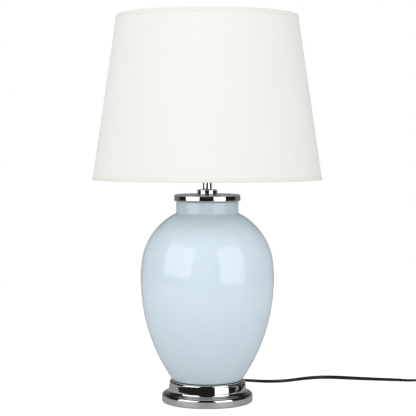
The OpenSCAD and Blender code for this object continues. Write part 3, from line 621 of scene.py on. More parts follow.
# Plain finishes: name of the material, colour, roughness, other shader inputs, size and depth of the
# grain in millimetres, lowest and highest roughness, and the two colours it drifts between.
PLAIN = {
    # Calendered film: an even, eggshell white behind the cloth
    "shade_lining": ("styrene_film", "#F2F1EB", {"IOR": 1.55},
                     6, 0.01, (0.45, 0.58), "#EFEEE7", "#F5F4EF"),
    # Dipped coat on wire: glossy, with the slight thick and thin of a dip
    "white_wire": ("dipped_white_enamel", "#EDEDEA", {"IOR": 1.5},
                   3, 0.05, (0.25, 0.38), "#EAEAE7", "#F0F0ED"),
    # Soft moulding, as on a plug: duller than the holder, with a satin skin
    "plug_black": ("soft_pvc_moulding", "#1D1D1F", {"IOR": 1.53},
                   0.9, 0.02, (0.42, 0.58), "#19191B", "#232325"),
    # Cut sheet rubber: dull and slightly dusty
    "black_rubber": ("cut_rubber_sheet", "#1A1A1A", {"IOR": 1.52},
                     1.2, 0.03, (0.7, 0.9), "#161616", "#232322"),
    # Pressed wool: matted fibres and a nap with no gloss
    "felt": ("pressed_felt", "#20352A", {"Sheen Weight": 0.4},
             1.4, 0.35, (0.93, 1.0), "#182A20", "#2C4536"),
    # Zinc-plated pressed sheet: pale grey with a soft spangle
    "steel_plate": ("zinc_plated_sheet", "#A9ADB0", METAL, 5, 0.006, (0.3, 0.46), "#9CA0A4", "#B6BABD"),
    # Sand-cast iron: dark, with the pitted skin of the mould
    "ballast_iron": ("sand_cast_iron", "#4A4A4B", METAL, 1.6, 0.3, (0.58, 0.82), "#3C3C3D", "#58585A"),
    # Plated thread: bright, with turning marks along it
    "threaded_steel": ("plated_threaded_steel", "#B9B7AE", METAL,
                       3, 0.01, (0.24, 0.38), "#B3B1A8", "#BFBDB4"),
    # Nickel-plated screws: bright and slightly warm
    "screw_steel": ("nickel_plated_screws", "#C6C3BA", METAL,
                    1.2, 0.006, (0.18, 0.32), "#C0BDB4", "#CCC9C0"),
    # Nickel-plated brass pins: a bright turned face
    "pin_nickel": ("nickel_plated_brass", "#D4D0C6", METAL,
                   3, 0.006, (0.14, 0.26), "#CFCBC1", "#D9D5CB"),
    # Stamped brass: yellow, with a faint tarnish in patches
    "brass": ("stamped_brass", "#C9A55A", METAL, 6, 0.008, (0.22, 0.4), "#B08B45", "#D5B46C"),
    # Rolled aluminium: soft silver
    "bulb_aluminium": ("rolled_aluminium", "#C9CBCD", METAL,
                       2, 0.006, (0.26, 0.42), "#C3C5C7", "#CFD1D3"),
    # Opal glass of an unlit bulb: milk white right through, with a smooth gloss
    "opal_glass": ("opal_glass", "#F4F4F1", OPAL, 20, 0.01, (0.18, 0.27), "#F1F1EE", "#F8F8F6"),
    # Pressed glass: a deep gloss with a slight pressing ripple
    "black_glass": ("pressed_black_glass", "#0E0E10", {"IOR": 1.52},
                    3, 0.02, (0.07, 0.16), "#0D0D0F", "#101012"),
    # Cooled solder: dull silver with a lumpy skin
    "solder": ("solder", "#B4B4B0", METAL, 2, 0.08, (0.34, 0.55), "#AAAAA6", "#BEBEBA"),
    # Pressed steatite: off-white and stony, with a fine dry grain
    "steatite": ("pressed_steatite", "#E4DFD2", {"IOR": 1.58},
                 0.9, 0.03, (0.52, 0.7), "#DCD6C7", "#EBE7DC"),
    # Moulded nylon: warm white and slightly waxy
    "white_nylon": ("moulded_nylon", "#E9E7DF", WAXY, 1.5, 0.02, (0.36, 0.5), "#E5E3DB", "#EDEBE3"),
    # Soft clear vinyl: pale and slightly cloudy
    "clear_washer": ("soft_clear_vinyl", "#C9D3D6", {"IOR": 1.53},
                     4, 0.02, (0.24, 0.38), "#C0CBCF", "#D5DDDF"),
    # Extruded core sheaths: even and half glossy
    "brown_core": ("brown_core_sheath", "#5B3420", {"IOR": 1.53},
                   1.5, 0.01, (0.34, 0.48), "#52301D", "#653B26"),
    "blue_core": ("blue_core_sheath", "#2F6FA8", {"IOR": 1.53},
                  1.5, 0.01, (0.34, 0.48), "#2A659B", "#377AB4"),
    # Polythene: black and slightly waxy
    "tie_plastic": ("polythene_strip", "#1B1B1D", {"IOR": 1.51},
                    1, 0.02, (0.38, 0.52), "#19191B", "#1F1F21"),
}


def plain_finish(slot):
    """A finish from the table."""
    name, colour, inputs, grain_mm, relief_mm, spread, dark, pale = PLAIN[slot]
    material, tree, shader = start_material(name, linear(colour), sum(spread) / 2, **inputs)
    grain(tree, shader, object_space(tree), grain_mm, relief_mm, spread, linear(dark), linear(pale))
    return material


def hem_tape():
    """Woven cotton tape turned over the edge: a fine rib along it, a shade yellower than the cloth."""
    colour = scene_tint("tape")
    material, tree, shader = start_material("cotton_tape", colour, 0.88, **{"Sheen Weight": 0.1})
    grain(tree, shader, object_space(tree), 1.1, 0.08, (0.82, 0.95), shaded(colour, 0.94),
          shaded(colour, 1.03))
    return material


def black_flex():
    """Extruded PVC sheath: a soft black satin with faint drawing lines along it."""
    material, tree, shader = start_material("extruded_pvc", linear("#131314"), 0.34, IOR=1.53)
    where = add(tree, "ShaderNodeUVMap", uv_map="sheath")
    lines = add(tree, "ShaderNodeMapping", {"Scale": (1 / (0.6 * MM), 1 / (60 * MM), 1)},
                {"Vector": where.outputs[0]})
    grain(tree, shader, lines.outputs[0], 1000, 0.02, (0.28, 0.42), linear("#101011"), linear("#19191A"))
    return material


def moulded_black():
    """Black moulded thermoset: even and lightly glossy, with a fine mould texture."""
    colour = scene_tint("black")
    material, tree, shader = start_material("phenolic_moulding", colour, 0.35, IOR=1.54)
    grain(tree, shader, object_space(tree), 0.8, 0.012, (0.28, 0.42), shaded(colour, 0.9),
          shaded(colour, 1.2))
    return material


MADE = {
    "chrome": polished_chrome, "glazed_ceramic": celadon_glaze, "shade_fabric": woven_shade_cloth,
    "shade_tape": hem_tape, "black_flex": black_flex, "black_holder": moulded_black,
    "switch_black": moulded_black,
}


def material_for(slot):
    """The material of one of the record's slots, made once."""
    maker = MADE.get(slot, slot)
    if maker not in MATERIALS:
        MATERIALS[maker] = maker() if callable(maker) else plain_finish(slot)
    return MATERIALS[maker]


# ---------------------------------------------------------------- stage


def soft_box(name, centre, aim, width, height, radiance):
    """A large soft light that reflections show, and the camera doesn't."""
    lamp = bpy.data.lights.new(name, "AREA")
    lamp.shape = "RECTANGLE"
    lamp.size = width
    lamp.size_y = height
    lamp.energy = radiance * math.pi * width * height
    holder = bpy.data.objects.new(name, lamp)
    holder.location = centre
    holder.rotation_euler = (Vector(aim) - Vector(centre)).to_track_quat("-Z", "Y").to_euler()
    holder.visible_camera = False
    bpy.context.scene.collection.objects.link(holder)
    return holder


def make_world():
    """White behind the lamp, a soft fill all round it, and a dark room in its reflections."""
    world = bpy.data.worlds.new("studio")
    bpy.context.scene.world = world
    world.use_nodes = True
    tree = world.node_tree
    tree.nodes.clear()
    kind = add(tree, "ShaderNodeLightPath")
    white = add(tree, "ShaderNodeBackground", {"Color": (1, 1, 1, 1), "Strength": 1.0})
    fill = add(tree, "ShaderNodeBackground", {"Color": (0.97, 0.99, 1.0, 1), "Strength": 0.54})
    # Reflections see a white cyclorama low behind the lamp, and dark above and in front
    where = add(tree, "ShaderNodeTexCoord")
    axes = add(tree, "ShaderNodeSeparateXYZ", links={"Vector": where.outputs["Generated"]})
    low = add(tree, "ShaderNodeMapRange", {"From Min": 0.45, "From Max": 0.1}, {"Value": axes.outputs[2]},
              interpolation_type="SMOOTHSTEP")
    behind = add(tree, "ShaderNodeMapRange", {"From Min": 0.25, "From Max": 0.6},
                 {"Value": axes.outputs[1]}, interpolation_type="SMOOTHSTEP")
    both = add(tree, "ShaderNodeMath", links={0: low.outputs[0], 1: behind.outputs[0]},
               operation="MULTIPLY")
    level = add(tree, "ShaderNodeMapRange", {"To Min": 0.02, "To Max": 0.22}, {"Value": both.outputs[0]})
    room = add(tree, "ShaderNodeBackground", {"Color": (1, 1, 1, 1)}, {"Strength": level.outputs[0]})
    matt = add(tree, "ShaderNodeMixShader", links={
        0: kind.outputs["Is Diffuse Ray"], 1: room.outputs[0], 2: fill.outputs[0]})
    seen = add(tree, "ShaderNodeMixShader", links={
        0: kind.outputs["Is Camera Ray"], 1: matt.outputs[0], 2: white.outputs[0]})
    add(tree, "ShaderNodeOutputWorld", links={"Surface": seen.outputs[0]})


def make_floor():
    """A plain white table, bright enough to leave only a faint shadow."""
    mesh = bpy.data.meshes.new("table_top")
    mesh.from_pydata([(-1.5, -0.95, 0), (1.8, -0.95, 0), (1.8, 1.6, 0), (-1.5, 1.6, 0)], [], [(0, 1, 2, 3)])
    floor = bpy.data.objects.new("table_top", mesh)
    bpy.context.scene.collection.objects.link(floor)
    material, tree, shader = start_material("matt_white_laminate", linear("#CDCDCD"), 0.6)
    # The camera sees the table as white as the backdrop, while the lamp is lit by its own pale grey
    kind = add(tree, "ShaderNodeLightPath")
    shader.inputs["Emission Color"].default_value = (0.78, 0.78, 0.78, 1)
    tree.links.new(kind.outputs["Is Camera Ray"], shader.inputs["Emission Strength"])
    grain(tree, shader, object_space(tree), 3, 0.01, (0.5, 0.6))
    mesh.materials.append(material)


def make_camera():
    """A long lens level with the jar, looking along +Y and slightly down."""
    data = bpy.data.cameras.new("camera")
    data.lens = 117.08
    data.sensor_width = 36
    camera = bpy.data.objects.new("camera", data)
    camera.location = (0.001, -1.9618, 0.3713)
    camera.rotation_euler = (math.radians(90 - 2.596), 0, 0)
    bpy.context.scene.collection.objects.link(camera)
    bpy.context.scene.camera = camera


class LAMP_OT_stage(bpy.types.Operator):
    """Sets up the table, the soft lights and the camera"""
    bl_idname = "lamp.stage"
    bl_label = "Stage"

    def execute(self, context):
        make_camera()
        make_world()
        make_floor()
        aim = (0, 0, 0.28)
        soft_box("left_soft_box", (-1.21, -0.92, 0.785), aim, 1.62, 1.28, 2.1)
        soft_box("right_soft_box", (1.05, -1.1, 0.72), aim, 1.32, 1.42, 2.1)
        back = soft_box("back_fill", (0.2, 1.9, 1.3), aim, 1.6, 1.2, 1.0)
        back.visible_glossy = False
        context.scene.view_settings.view_transform = "Standard"
        return {"FINISHED"}


# ---------------------------------------------------------------- flex


# The middle of the flex on the table, in millimetres: x and y, how far it stands off the table
# (0 where it lies on it), and the turn of its flat side in degrees.
RUN = [
    (0, 92.6, 5.1, 0), (0, 104, 4.6, 0), (1, 117, 2.7, 0), (3, 130, 0.6, 0), (7, 143, 0, 5),
    (15, 154, 0, 10), (27, 162, 0, 15), (42, 165, 0, 25), (57, 163, 0, 35),
    (72, 158, 0, 40), (87, 153, 0, 45), (102, 152, 0, 50), (117, 155, 0, 50),
    (131, 162, 0, 50), (144, 171, 0, 55), (157, 179, 0, 65), (170, 185, 0, 80),
    (184, 188, 0, 90), (199, 188, 0, 90), (214, 185, 0, 90), (228, 181, 0, 80),
    (242, 177, 0, 70), (257, 174, 0, 60), (272, 171, 0, 50), (287, 168, 0, 45),
    (302, 166, 0, 35), (316, 163, 0, 20), (329, 161, 0.7, 8), (340, 160, 3, 0),
    (350, 160, 4.7, 0),
]
LINK = [
    (412, 160, 4.7, 0), (423, 159, 3.4, 20), (434, 155, 1.2, 50), (442, 147, 0, 80),
    (446, 135, 0, 90), (446, 121, 0.3, 90), (446, 107, 0.6, 90),
]
TAIL = [
    (445.4, 107, 6.4, 90), (445.2, 97, 6.3, 80), (444.4, 86, 6, 50), (443.3, 76, 5.6, 15),
    (443, 66, 5.1, 0),
]
# Each turn of the coil keeps its row until this share of it, and then shifts over to the next
COIL_SHIFT = 5 / 6
COIL_TURNS = 6
FLEX_GIRTH = 14.5 * MM


def ease(t):
    """A smooth step from 0 to 1."""
    t = min(1.0, max(0.0, t))
    return t * t * (3 - 2 * t)


def spline(points, settings, step=0.003):
    """Points of a smooth curve through a route, with its turn, in metres and radians."""
    half = settings.thickness / 2
    edge = settings.width / 2 - half
    rows = []
    for x, y, lift, turn in points:
        roll = math.radians(turn)
        rows.append((x * MM, y * MM, lift * MM + half + 0.1 * MM + edge * math.sin(roll), roll))
    first = tuple(2 * a - b for a, b in zip(rows[0], rows[1]))
    last = tuple(2 * a - b for a, b in zip(rows[-1], rows[-2]))
    rows = [first, *rows, last]
    made = []
    for p, q, r, s in zip(rows, rows[1:], rows[2:], rows[3:]):
        count = max(2, round(math.dist(q[:3], r[:3]) / step))
        for i in range(count):
            t = i / count
            made.append(tuple(
                0.5 * (2 * b + (c - a) * t + (2 * a - 5 * b + 4 * c - d) * t * t
                       + (3 * b - a - 3 * c + d) * t ** 3)
                for a, b, c, d in zip(p, q, r, s)))
    made.append(rows[-2])
    return made


def coil_route(settings, centre, low, steps=96):
    """The turns of the coil: inwards on the lower layer, up inside, and outwards on the upper one."""
    gap = settings.row_gap
    rows = [settings.coil_r + gap * k for k in (1, 0, -1, -1, 0, 1, 1)]
    layers = [low + settings.layer_gap * k for k in (0, 0, 0, 1, 1, 1, 1)]
    made = []
    for i in range(1, COIL_TURNS * steps):
        turn = i / steps
        k = int(turn)
        shift = (turn - k - COIL_SHIFT) / (1 - COIL_SHIFT)
        share = ease(shift)
        radius = rows[k] + (rows[k + 1] - rows[k]) * share
        # The first turn starts a little wide, where the flex runs in
        radius += 0.6 * MM * (1 - ease(turn * 6))
        if k == 2 and shift > 0:
            radius -= gap * math.sin(math.pi * shift)
        height = layers[k] + (layers[k + 1] - layers[k]) * share
        angle = -math.tau * turn
        made.append((centre[0] + radius * math.cos(angle), centre[1] + radius * math.sin(angle),
                     height, math.pi / 2))
    return made


def flex_route(settings):
    """The whole route, from the strain relief to the plug."""
    low, high = box("flex_coil")
    centre = ((low.x + high.x) / 2, (low.y + high.y) / 2)
    run = spline(RUN, settings)
    link = spline(LINK, settings)
    inside = [tuple(a + (b - a) * i / 20 for a, b in zip(run[-1], link[0])) for i in range(1, 20)]
    coil = coil_route(settings, centre, low.z + settings.width / 2)
    return run + inside + link + coil + spline(TAIL, settings)


def flat_section(width, thickness, count=16):
    """The outline of the flex: two flat sides and two round edges."""
    round_r = thickness / 2
    points = []
    for k in range(count):
        a = math.tau * (k + 0.5) / count
        side = math.copysign(1, math.cos(a))
        points.append(((width / 2 - round_r) * side + round_r * math.cos(a), round_r * math.sin(a)))
    return points


def swept_flex(route, section):
    """A closed tube of a flat section along a route, with a map in metres along and round it."""
    shape = bmesh.new()
    layer = shape.loops.layers.uv.new("sheath")
    rows = []
    lengths = [0.0]
    places = [Vector(p[:3]) for p in route]
    for a, b in zip(places, places[1:]):
        lengths.append(lengths[-1] + (b - a).length)
    for i, p in enumerate(route):
        along = (places[min(i + 1, len(route) - 1)] - places[max(i - 1, 0)]).normalized()
        across = along.cross(Vector((0, 0, 1))).normalized()
        up = across.cross(along)
        c, s = math.cos(p[3]), math.sin(p[3])
        rows.append([shape.verts.new(places[i] + (u * c - v * s) * across + (u * s + v * c) * up)
                     for u, v in section])
    count = len(section)
    for i, (a, b) in enumerate(zip(rows, rows[1:])):
        for k in range(count):
            n = (k + 1) % count
            face = shape.faces.new((a[k], b[k], b[n], a[n]))
            corners = ((k, i), (k, i + 1), (k + 1, i + 1), (k + 1, i))
            for loop, (turn, at) in zip(face.loops, corners):
                loop[layer].uv = (FLEX_GIRTH * turn / count, lengths[at])
    shape.faces.new(rows[0])
    shape.faces.new(rows[-1][::-1])
    bmesh.ops.recalc_face_normals(shape, faces=shape.faces)
    mesh = bpy.data.meshes.new("flex")
    shape.to_mesh(mesh)
    shape.free()
    smooth(mesh, 50)
    return mesh, lengths[-1]


def make_relief():
    """The ribbed strain relief, turned along +Y out of the back of the base."""
    low, high = box("strain_relief")
    length = high.y - low.y
    flange_r = (high.x - low.x) / 2
    root, tip, flange_t, outside = flange_r - 0.4 * MM, 3.2 * MM, 2 * MM, 3.6 * MM
    points = [(0, 0), *arc((flange_r - 0.4 * MM, 0.4 * MM), 0.4 * MM, -90, 0, 3), (flange_r, flange_t),
              (root, flange_t), *line((root, outside), (tip + 0.1 * MM, length - 0.8 * MM), 0.35 * MM),
              (tip, length - 0.6 * MM), (tip - 0.5 * MM, length), (0, length)]
    mesh = turned(points, "plug_black", closed=False, **{
        "Steps": 64, "Pitch": 4 * MM, "Thread Depth": 0.7 * MM, "Thread Low": outside + 3 * MM,
        "Thread High": length - 3 * MM, "Beyond Radius": 2.5 * MM, "Fade": 2 * MM})
    laid(mesh, (0, low.y, (low.z + high.z) / 2), (0, 1, 0))
    return place("strain_relief_moulding", mesh, "lamp", "black_flex", "strain_relief")


class LAMP_OT_flex(bpy.types.Operator):
    """Lays the flat flex from the base, past its switch, into its coil and on to the plug"""
    bl_idname = "lamp.flex"
    bl_label = "Flex"

    def execute(self, context):
        settings = context.scene.lamp_flex
        route = flex_route(settings)
        relief = make_relief()
        mesh, length = swept_flex(route, flat_section(settings.width, settings.thickness))
        flex = place("flex_lead", mesh, "lamp", "black_flex",
                     "flex_run", "flex_link", "flex_coil", "flex_tail")
        on_lead = [relief, *make_switch(), *make_plug(), make_tie()]
        return {"FINISHED"}


# ---------------------------------------------------------------- switch, plug and tie


def make_switch():
    """The in-line switch: two moulded halves and a rocker with ridges."""
    low, split = box("switch_base")
    top = high_z("switch_cover")
    centre = ((low.x + split.x) / 2, (low.y + split.y) / 2)
    half_x, half_y = (split.x - low.x) / 2, (split.y - low.y) / 2
    corner, wall, ease_r = 7 * MM, 2 * MM, 2.2 * MM
    rocker_low, rocker_high = box("switch_rocker")
    slot_x = (rocker_high.x - rocker_low.x) / 2 + 0.3 * MM
    slot_y = (rocker_high.y - rocker_low.y) / 2 + 0.3 * MM

    def loop(inset, height):
        return rounded_loop(centre, half_x - inset, half_y - inset, max(corner - inset, 1 * MM), height)

    def rim(inset_from, height, sign):
        turns = [math.radians(90 * i / 5) for i in range(6)]
        return [loop(inset_from + ease_r * (1 - math.cos(a)), height + sign * ease_r * math.sin(a))
                for a in turns]

    slot_low = rounded_loop(centre, slot_x, slot_y, 0.8 * MM, top - wall)
    slot_high = rounded_loop(centre, slot_x, slot_y, 0.8 * MM, top)
    cover = loft([loop(wall, split.z + 0.15 * MM), loop(wall, top - wall), slot_low, slot_high]
                 + rim(0, top - ease_r, 1)[::-1]
                 + [loop(0, split.z + 0.5 * MM), loop(0.3 * MM, split.z + 0.15 * MM)],
                 closed=True)
    base = loft([loop(wall + 4 * MM, low.z + wall), loop(wall, low.z + wall), loop(wall, split.z),
                 loop(0.3 * MM, split.z), loop(0, split.z - 0.35 * MM)]
                + rim(0, low.z + ease_r, -1) + [loop(half_y * 0.6, low.z)])
    return [place("switch_cover_moulding", cover, "lamp", "switch_black", "switch_cover"),
            place("switch_base_moulding", base, "lamp", "switch_black", "switch_base"),
            make_rocker(rocker_low, rocker_high), frame["nodes"]["switch_screws"],
            frame["nodes"]["switch_contacts"]]


def make_rocker(low, high):
    """The rocker: a round back in the switch, and a face with raised ridges at one end."""
    joint = next(j for j in frame["joints"] if j["name"] == "rocker_tip")
    px, _, pz = joint["pos_m"]
    radius = (high.x - low.x) / 2
    face, depth, tilt = 6.3 * MM, 5 * MM, math.radians(10)

    def local(x, z):
        """A point of the rocker's own section, tipped to rest."""
        return (px + x * math.cos(tilt) + z * math.sin(tilt), pz - x * math.sin(tilt) + z * math.cos(tilt))

    half_face = math.sqrt(radius ** 2 - face ** 2)
    rim_a, rim_b = math.asin(face / radius), -math.asin(depth / radius)
    right = arc((0, 0), radius, math.degrees(rim_b), math.degrees(rim_a), 10)
    ridges = []
    for k in range(4):
        x = half_face - (1.2 + 1.3 * k) * MM
        ridges += [local(x + 0.35 * MM, face), local(x, face + 0.25 * MM), local(x - 0.35 * MM, face)]
    points = [local(x, z) for x, z in right] + ridges + [local(-x, z) for x, z in reversed(right)]
    ease_y = 0.4 * MM
    middle = local(0, 0)

    def slice_at(y, inset):
        return [(middle[0] + (x - middle[0]) * inset, y, middle[1] + (z - middle[1]) * inset)
                for x, z in points]

    shrink = 1 - ease_y / radius
    mesh = loft([slice_at(low.y, shrink), slice_at(low.y + ease_y, 1), slice_at(high.y - ease_y, 1),
                 slice_at(high.y, shrink)])
    return place("switch_rocker_moulding", mesh, "rocker", "switch_black", "switch_rocker")


def make_plug():
    """The two-pin plug: a soft oval body, a ribbed tail, and two sleeved pins."""
    low, high = box("plug_body")
    centre = ((low.x + high.x) / 2, (low.z + high.z) / 2)
    half_w, half_t = (high.x - low.x) / 2, (high.z - low.z) / 2
    length = high.y - low.y
    body_l = length - 18 * MM
    # Along the body: millimetres back from the face, and how wide and thick, as shares of the widest
    stations = [(0.0, 0.93, 0.86), (0.4, 0.97, 0.93), (1.2, 1.0, 1.0), (9, 1.0, 1.0), (15, 0.97, 0.99),
                (21, 0.86, 0.96), (27, 0.66, 0.9), (31, 0.47, 0.84), (body_l / MM, 0.33, 0.76)]
    # The tail tapers, and every third station is a groove between two ribs
    for i in range(1, 20):
        groove = 1 if i % 3 == 2 else 0
        stations.append((body_l / MM + 0.9 * i, 0.305 - 0.0052 * i - 0.03 * groove,
                         0.72 - 0.0125 * i - 0.075 * groove))
    stations.append((length / MM, 0.19, 0.46))
    loops = []
    for back, wide, thick in stations:
        a, b = half_w * wide, half_t * thick
        flat = rounded_loop(centre, a, b, min(a, b), low.y + back * MM, 6)
        loops.append([(x, y, z) for x, z, y in flat])
    made = [place("plug_moulding", loft(loops), "lamp", "plug_black", "plug_body")]
    for name, node, slot in (("plug_pin_sleeves", "plug_sleeves", "plug_black"),
                             ("plug_pin_metal", "plug_pins", "pin_nickel")):
        pin_low, pin_high = box(node)
        radius = (pin_high.z - pin_low.z) / 2
        spacing = pin_high.x - pin_low.x - 2 * radius
        reach_y = low.y - pin_low.y
        if node == "plug_pins":
            start = 9.6 * MM
            points = [(0, start), (radius, start), (radius, reach_y - 1.2 * MM),
                      *bend((radius, reach_y - 1.2 * MM), (radius, reach_y - 0.4 * MM),
                            (0.8 * MM, reach_y), (0, reach_y), 8)[1:]]
        else:
            points = [(0, -1 * MM), (radius, -1 * MM),
                      *line((radius, 0), (radius, reach_y - 0.3 * MM), 1 * MM),
                      (radius - 0.3 * MM, reach_y), (0, reach_y)]
        one = turned(points, slot, closed=False, Steps=40)
        laid(one, (pin_low.x + radius, low.y, (pin_low.z + pin_high.z) / 2), (0, -1, 0))
        mesh = grow(tree_named("repeated", repeated_tree), one, {
            "Count": 2, "Step": (spacing, 0, 0), "Material": material_for(slot)})
        smooth(mesh)
        made.append(place(name, mesh, "lamp", slot, node))
    return made


def make_tie():
    """The strip that holds the coil: a flat band with round corners."""
    low, high = box("flex_tie")
    centre = ((low.x + high.x) / 2, (low.z + high.z) / 2)
    half_x, half_z = (high.x - low.x) / 2, (high.z - low.z) / 2
    thick, round_r = 0.5 * MM, 1.6 * MM
    loops = []
    for inset, y in ((thick, low.y), (0, low.y), (0, high.y), (thick, high.y)):
        flat = rounded_loop(centre, half_x - inset, half_z - inset, round_r - inset, y, 5)
        loops.append([(x, along, z) for x, z, along in flat])
    return place("flex_tie_strip", loft(loops, closed=True), "lamp", "tie_plastic", "flex_tie")


# ---------------------------------------------------------------- base


class LAMP_OT_base(bpy.types.Operator):
    """Turns the two-tier polished base, its felt and the plate under it"""
    bl_idname = "lamp.base"
    bl_label = "Base"

    def execute(self, context):
        s = context.scene.lamp_base
        flange_r, low, top = reach("base_shell"), low_z("base_shell"), high_z("base_shell")
        cone_z = s.flange_z + s.cove_r
        side_z = top - s.collar_round
        inner_r = flange_r - s.rim_round - s.wall
        roof_z = top - 2 * MM
        shelf_z = s.flange_z - s.wall
        outline = [
            (inner_r, low),
            *arc((flange_r - s.rim_round, low + s.rim_round), s.rim_round, -90, 0, 10),
            *line((flange_r, low + s.rim_round), (flange_r, s.flange_z - s.flange_round), 0.8 * MM)[1:],
            *arc((flange_r - s.flange_round, s.flange_z - s.flange_round), s.flange_round, 0, 90, 14),
            *arc((s.collar_foot_r + s.cove_r, cone_z), s.cove_r, 270, 180, 12),
            *line((s.collar_foot_r, cone_z), (s.collar_top_r, side_z), 2 * MM)[1:],
            *arc((s.collar_top_r - s.collar_round, side_z), s.collar_round, 0, 90, 12),
            (s.rod_hole_r, top), (s.rod_hole_r, roof_z), (s.collar_top_r - 4.6 * MM, roof_z),
            (s.collar_top_r - 2.6 * MM, roof_z - 1 * MM), (s.collar_foot_r - s.wall, cone_z),
            (s.collar_foot_r - s.wall, shelf_z), (flange_r - s.flange_round, shelf_z),
            *arc((flange_r - s.flange_round, s.flange_z - s.flange_round), s.flange_round - s.wall,
                 80, 0, 6),
            (flange_r - s.wall, low + s.rim_round + s.wall), (inner_r, low + s.rim_round + s.wall),
        ]
        turn_piece("base_shell_polished", outline, "lamp", "chrome", "base_shell", Steps=256)
        ring_piece("seat_washer_ring", reach("seat_washer") - 6.5 * MM, "lamp", "black_rubber",
                   "seat_washer", 0.2 * MM)
        ring_piece("felt_pad_disc", 6 * MM, "lamp", "felt", "felt_pad", 0.5 * MM)
        ring_piece("base_plate_disc", 4 * MM, "lamp", "steel_plate", "base_plate")
        return {"FINISHED"}


# ---------------------------------------------------------------- jar


def jar_arcs(s, low, belly_r):
    """Centres, radii and angles of the belly's arc and of the shoulder's arc that leaves it smoothly."""
    rise = belly_r - s.foot_r
    belly_arc = (rise ** 2 + s.belly_h ** 2) / (2 * rise)
    belly = Vector((belly_r - belly_arc, low + s.belly_h))
    turn = math.radians(s.shoulder_deg)
    way = Vector((math.cos(turn), math.sin(turn)))
    join = belly + belly_arc * way
    to_neck = Vector((s.neck_r, low + s.shoulder_h)) - join
    shoulder_arc = -to_neck.length_squared / (2 * to_neck.dot(way))
    shoulder = join - shoulder_arc * way
    foot_deg = math.degrees(math.asin(-s.belly_h / belly_arc))
    neck = Vector((s.neck_r, low + s.shoulder_h)) - shoulder
    neck_deg = math.degrees(math.atan2(neck.y, neck.x))
    return belly, belly_arc, foot_deg, shoulder, shoulder_arc, neck_deg


class LAMP_OT_jar(bpy.types.Operator):
    """Turns the glazed ginger jar from its two tangent arcs"""
    bl_idname = "lamp.jar"
    bl_label = "Jar"

    def execute(self, context):
        s = context.scene.lamp_jar
        low, lip = low_z("ceramic_jar"), high_z("ceramic_jar")
        belly, belly_arc, foot_deg, shoulder, shoulder_arc, neck_deg = jar_arcs(
            s, low, reach("ceramic_jar"))
        neck_z = low + s.shoulder_h
        ring_r = s.foot_r - s.foot_ring_w
        inner_neck = s.neck_r - s.wall
        inside_deg = math.degrees(math.acos((inner_neck - shoulder.x) / (shoulder_arc - s.wall)))
        floor_deg = math.degrees(math.asin((low + s.floor_t - belly.y) / (belly_arc - s.wall)))
        foot_arc = arc((s.foot_r - s.foot_round, low + s.foot_round), s.foot_round, -90, -20, 5)
        outline = [
            (s.hole_r, low + s.foot_recess), (ring_r, low + s.foot_recess), (ring_r, low), *foot_arc,
            *arc(belly, belly_arc, foot_deg + 0.4, s.shoulder_deg, 90),
            *arc(shoulder, shoulder_arc, s.shoulder_deg, neck_deg, 64)[1:],
            *line((s.neck_r, neck_z), (s.neck_r, lip - s.lip_round), 2 * MM)[1:],
            *arc((s.neck_r - s.lip_round, lip - s.lip_round), s.lip_round, 0, 90, 8),
            (inner_neck, lip),
            *arc(shoulder, shoulder_arc - s.wall, inside_deg, s.shoulder_deg, 30),
            *arc(belly, belly_arc - s.wall, s.shoulder_deg, floor_deg, 40)[1:],
            (s.hole_r, low + s.floor_t),
        ]
        turn_piece("ginger_jar", outline, "lamp", "glazed_ceramic", "ceramic_jar", Steps=256)
        return {"FINISHED"}


# ---------------------------------------------------------------- stem


class LAMP_OT_stem(bpy.types.Operator):
    """Turns the cap on the neck, the small disc and the polished stem tube"""
    bl_idname = "lamp.stem"
    bl_label = "Cap and stem"

    def execute(self, context):
        s = context.scene.lamp_stem
        cap_z, disc_z = high_z("neck_washer"), high_z("neck_cap")
        cap_r, spigot_low = reach("neck_cap"), low_z("neck_cap")
        lower, upper = s.cap_low_round, s.cap_round
        spigot_in = s.spigot_r - s.spigot_wall
        cap = [
            (s.spigot_r, cap_z), *arc((cap_r - lower, cap_z + lower), lower, -90, 0, 8),
            *line((cap_r, cap_z + lower), (cap_r, disc_z - upper), 0.8 * MM)[1:],
            *arc((cap_r - upper, disc_z - upper), upper, 0, 90, 12),
            *line((cap_r - upper, disc_z), (s.rod_hole_r, disc_z), 2 * MM)[1:],
            (s.rod_hole_r, disc_z), (s.rod_hole_r, disc_z - 2 * MM), (spigot_in, disc_z - 2 * MM),
            (spigot_in, spigot_low), (s.spigot_r - 1 * MM, spigot_low), (s.spigot_r, spigot_low + 1 * MM),
        ]
        turn_piece("neck_cap_polished", cap, "lamp", "chrome", "neck_cap", Steps=256)
        ring_piece("neck_washer_ring", reach("neck_washer") - 3.3 * MM, "lamp", "clear_washer",
                   "neck_washer", 0.2 * MM)
        disc_r, stem_z = reach("stem_disc"), high_z("stem_disc")
        disc = [
            (s.rod_hole_r, disc_z), *arc((disc_r - 0.6 * MM, disc_z + 0.6 * MM), 0.6 * MM, -90, 0, 5),
            *line((disc_r, disc_z + 0.6 * MM), (disc_r, stem_z - s.disc_round), 0.8 * MM)[1:],
            *arc((disc_r - s.disc_round, stem_z - s.disc_round), s.disc_round, 0, 90, 8),
            (s.rod_hole_r, stem_z),
        ]
        turn_piece("stem_disc_polished", disc, "lamp", "chrome", "stem_disc")
        tube = ring_section(s.rod_hole_r, reach("stem_tube"), stem_z, high_z("stem_tube"), 0.3 * MM)
        turn_piece("stem_tube_polished", tube, "lamp", "chrome", "stem_tube", Steps=96)
        return {"FINISHED"}


# ---------------------------------------------------------------- lamp holder and bulb


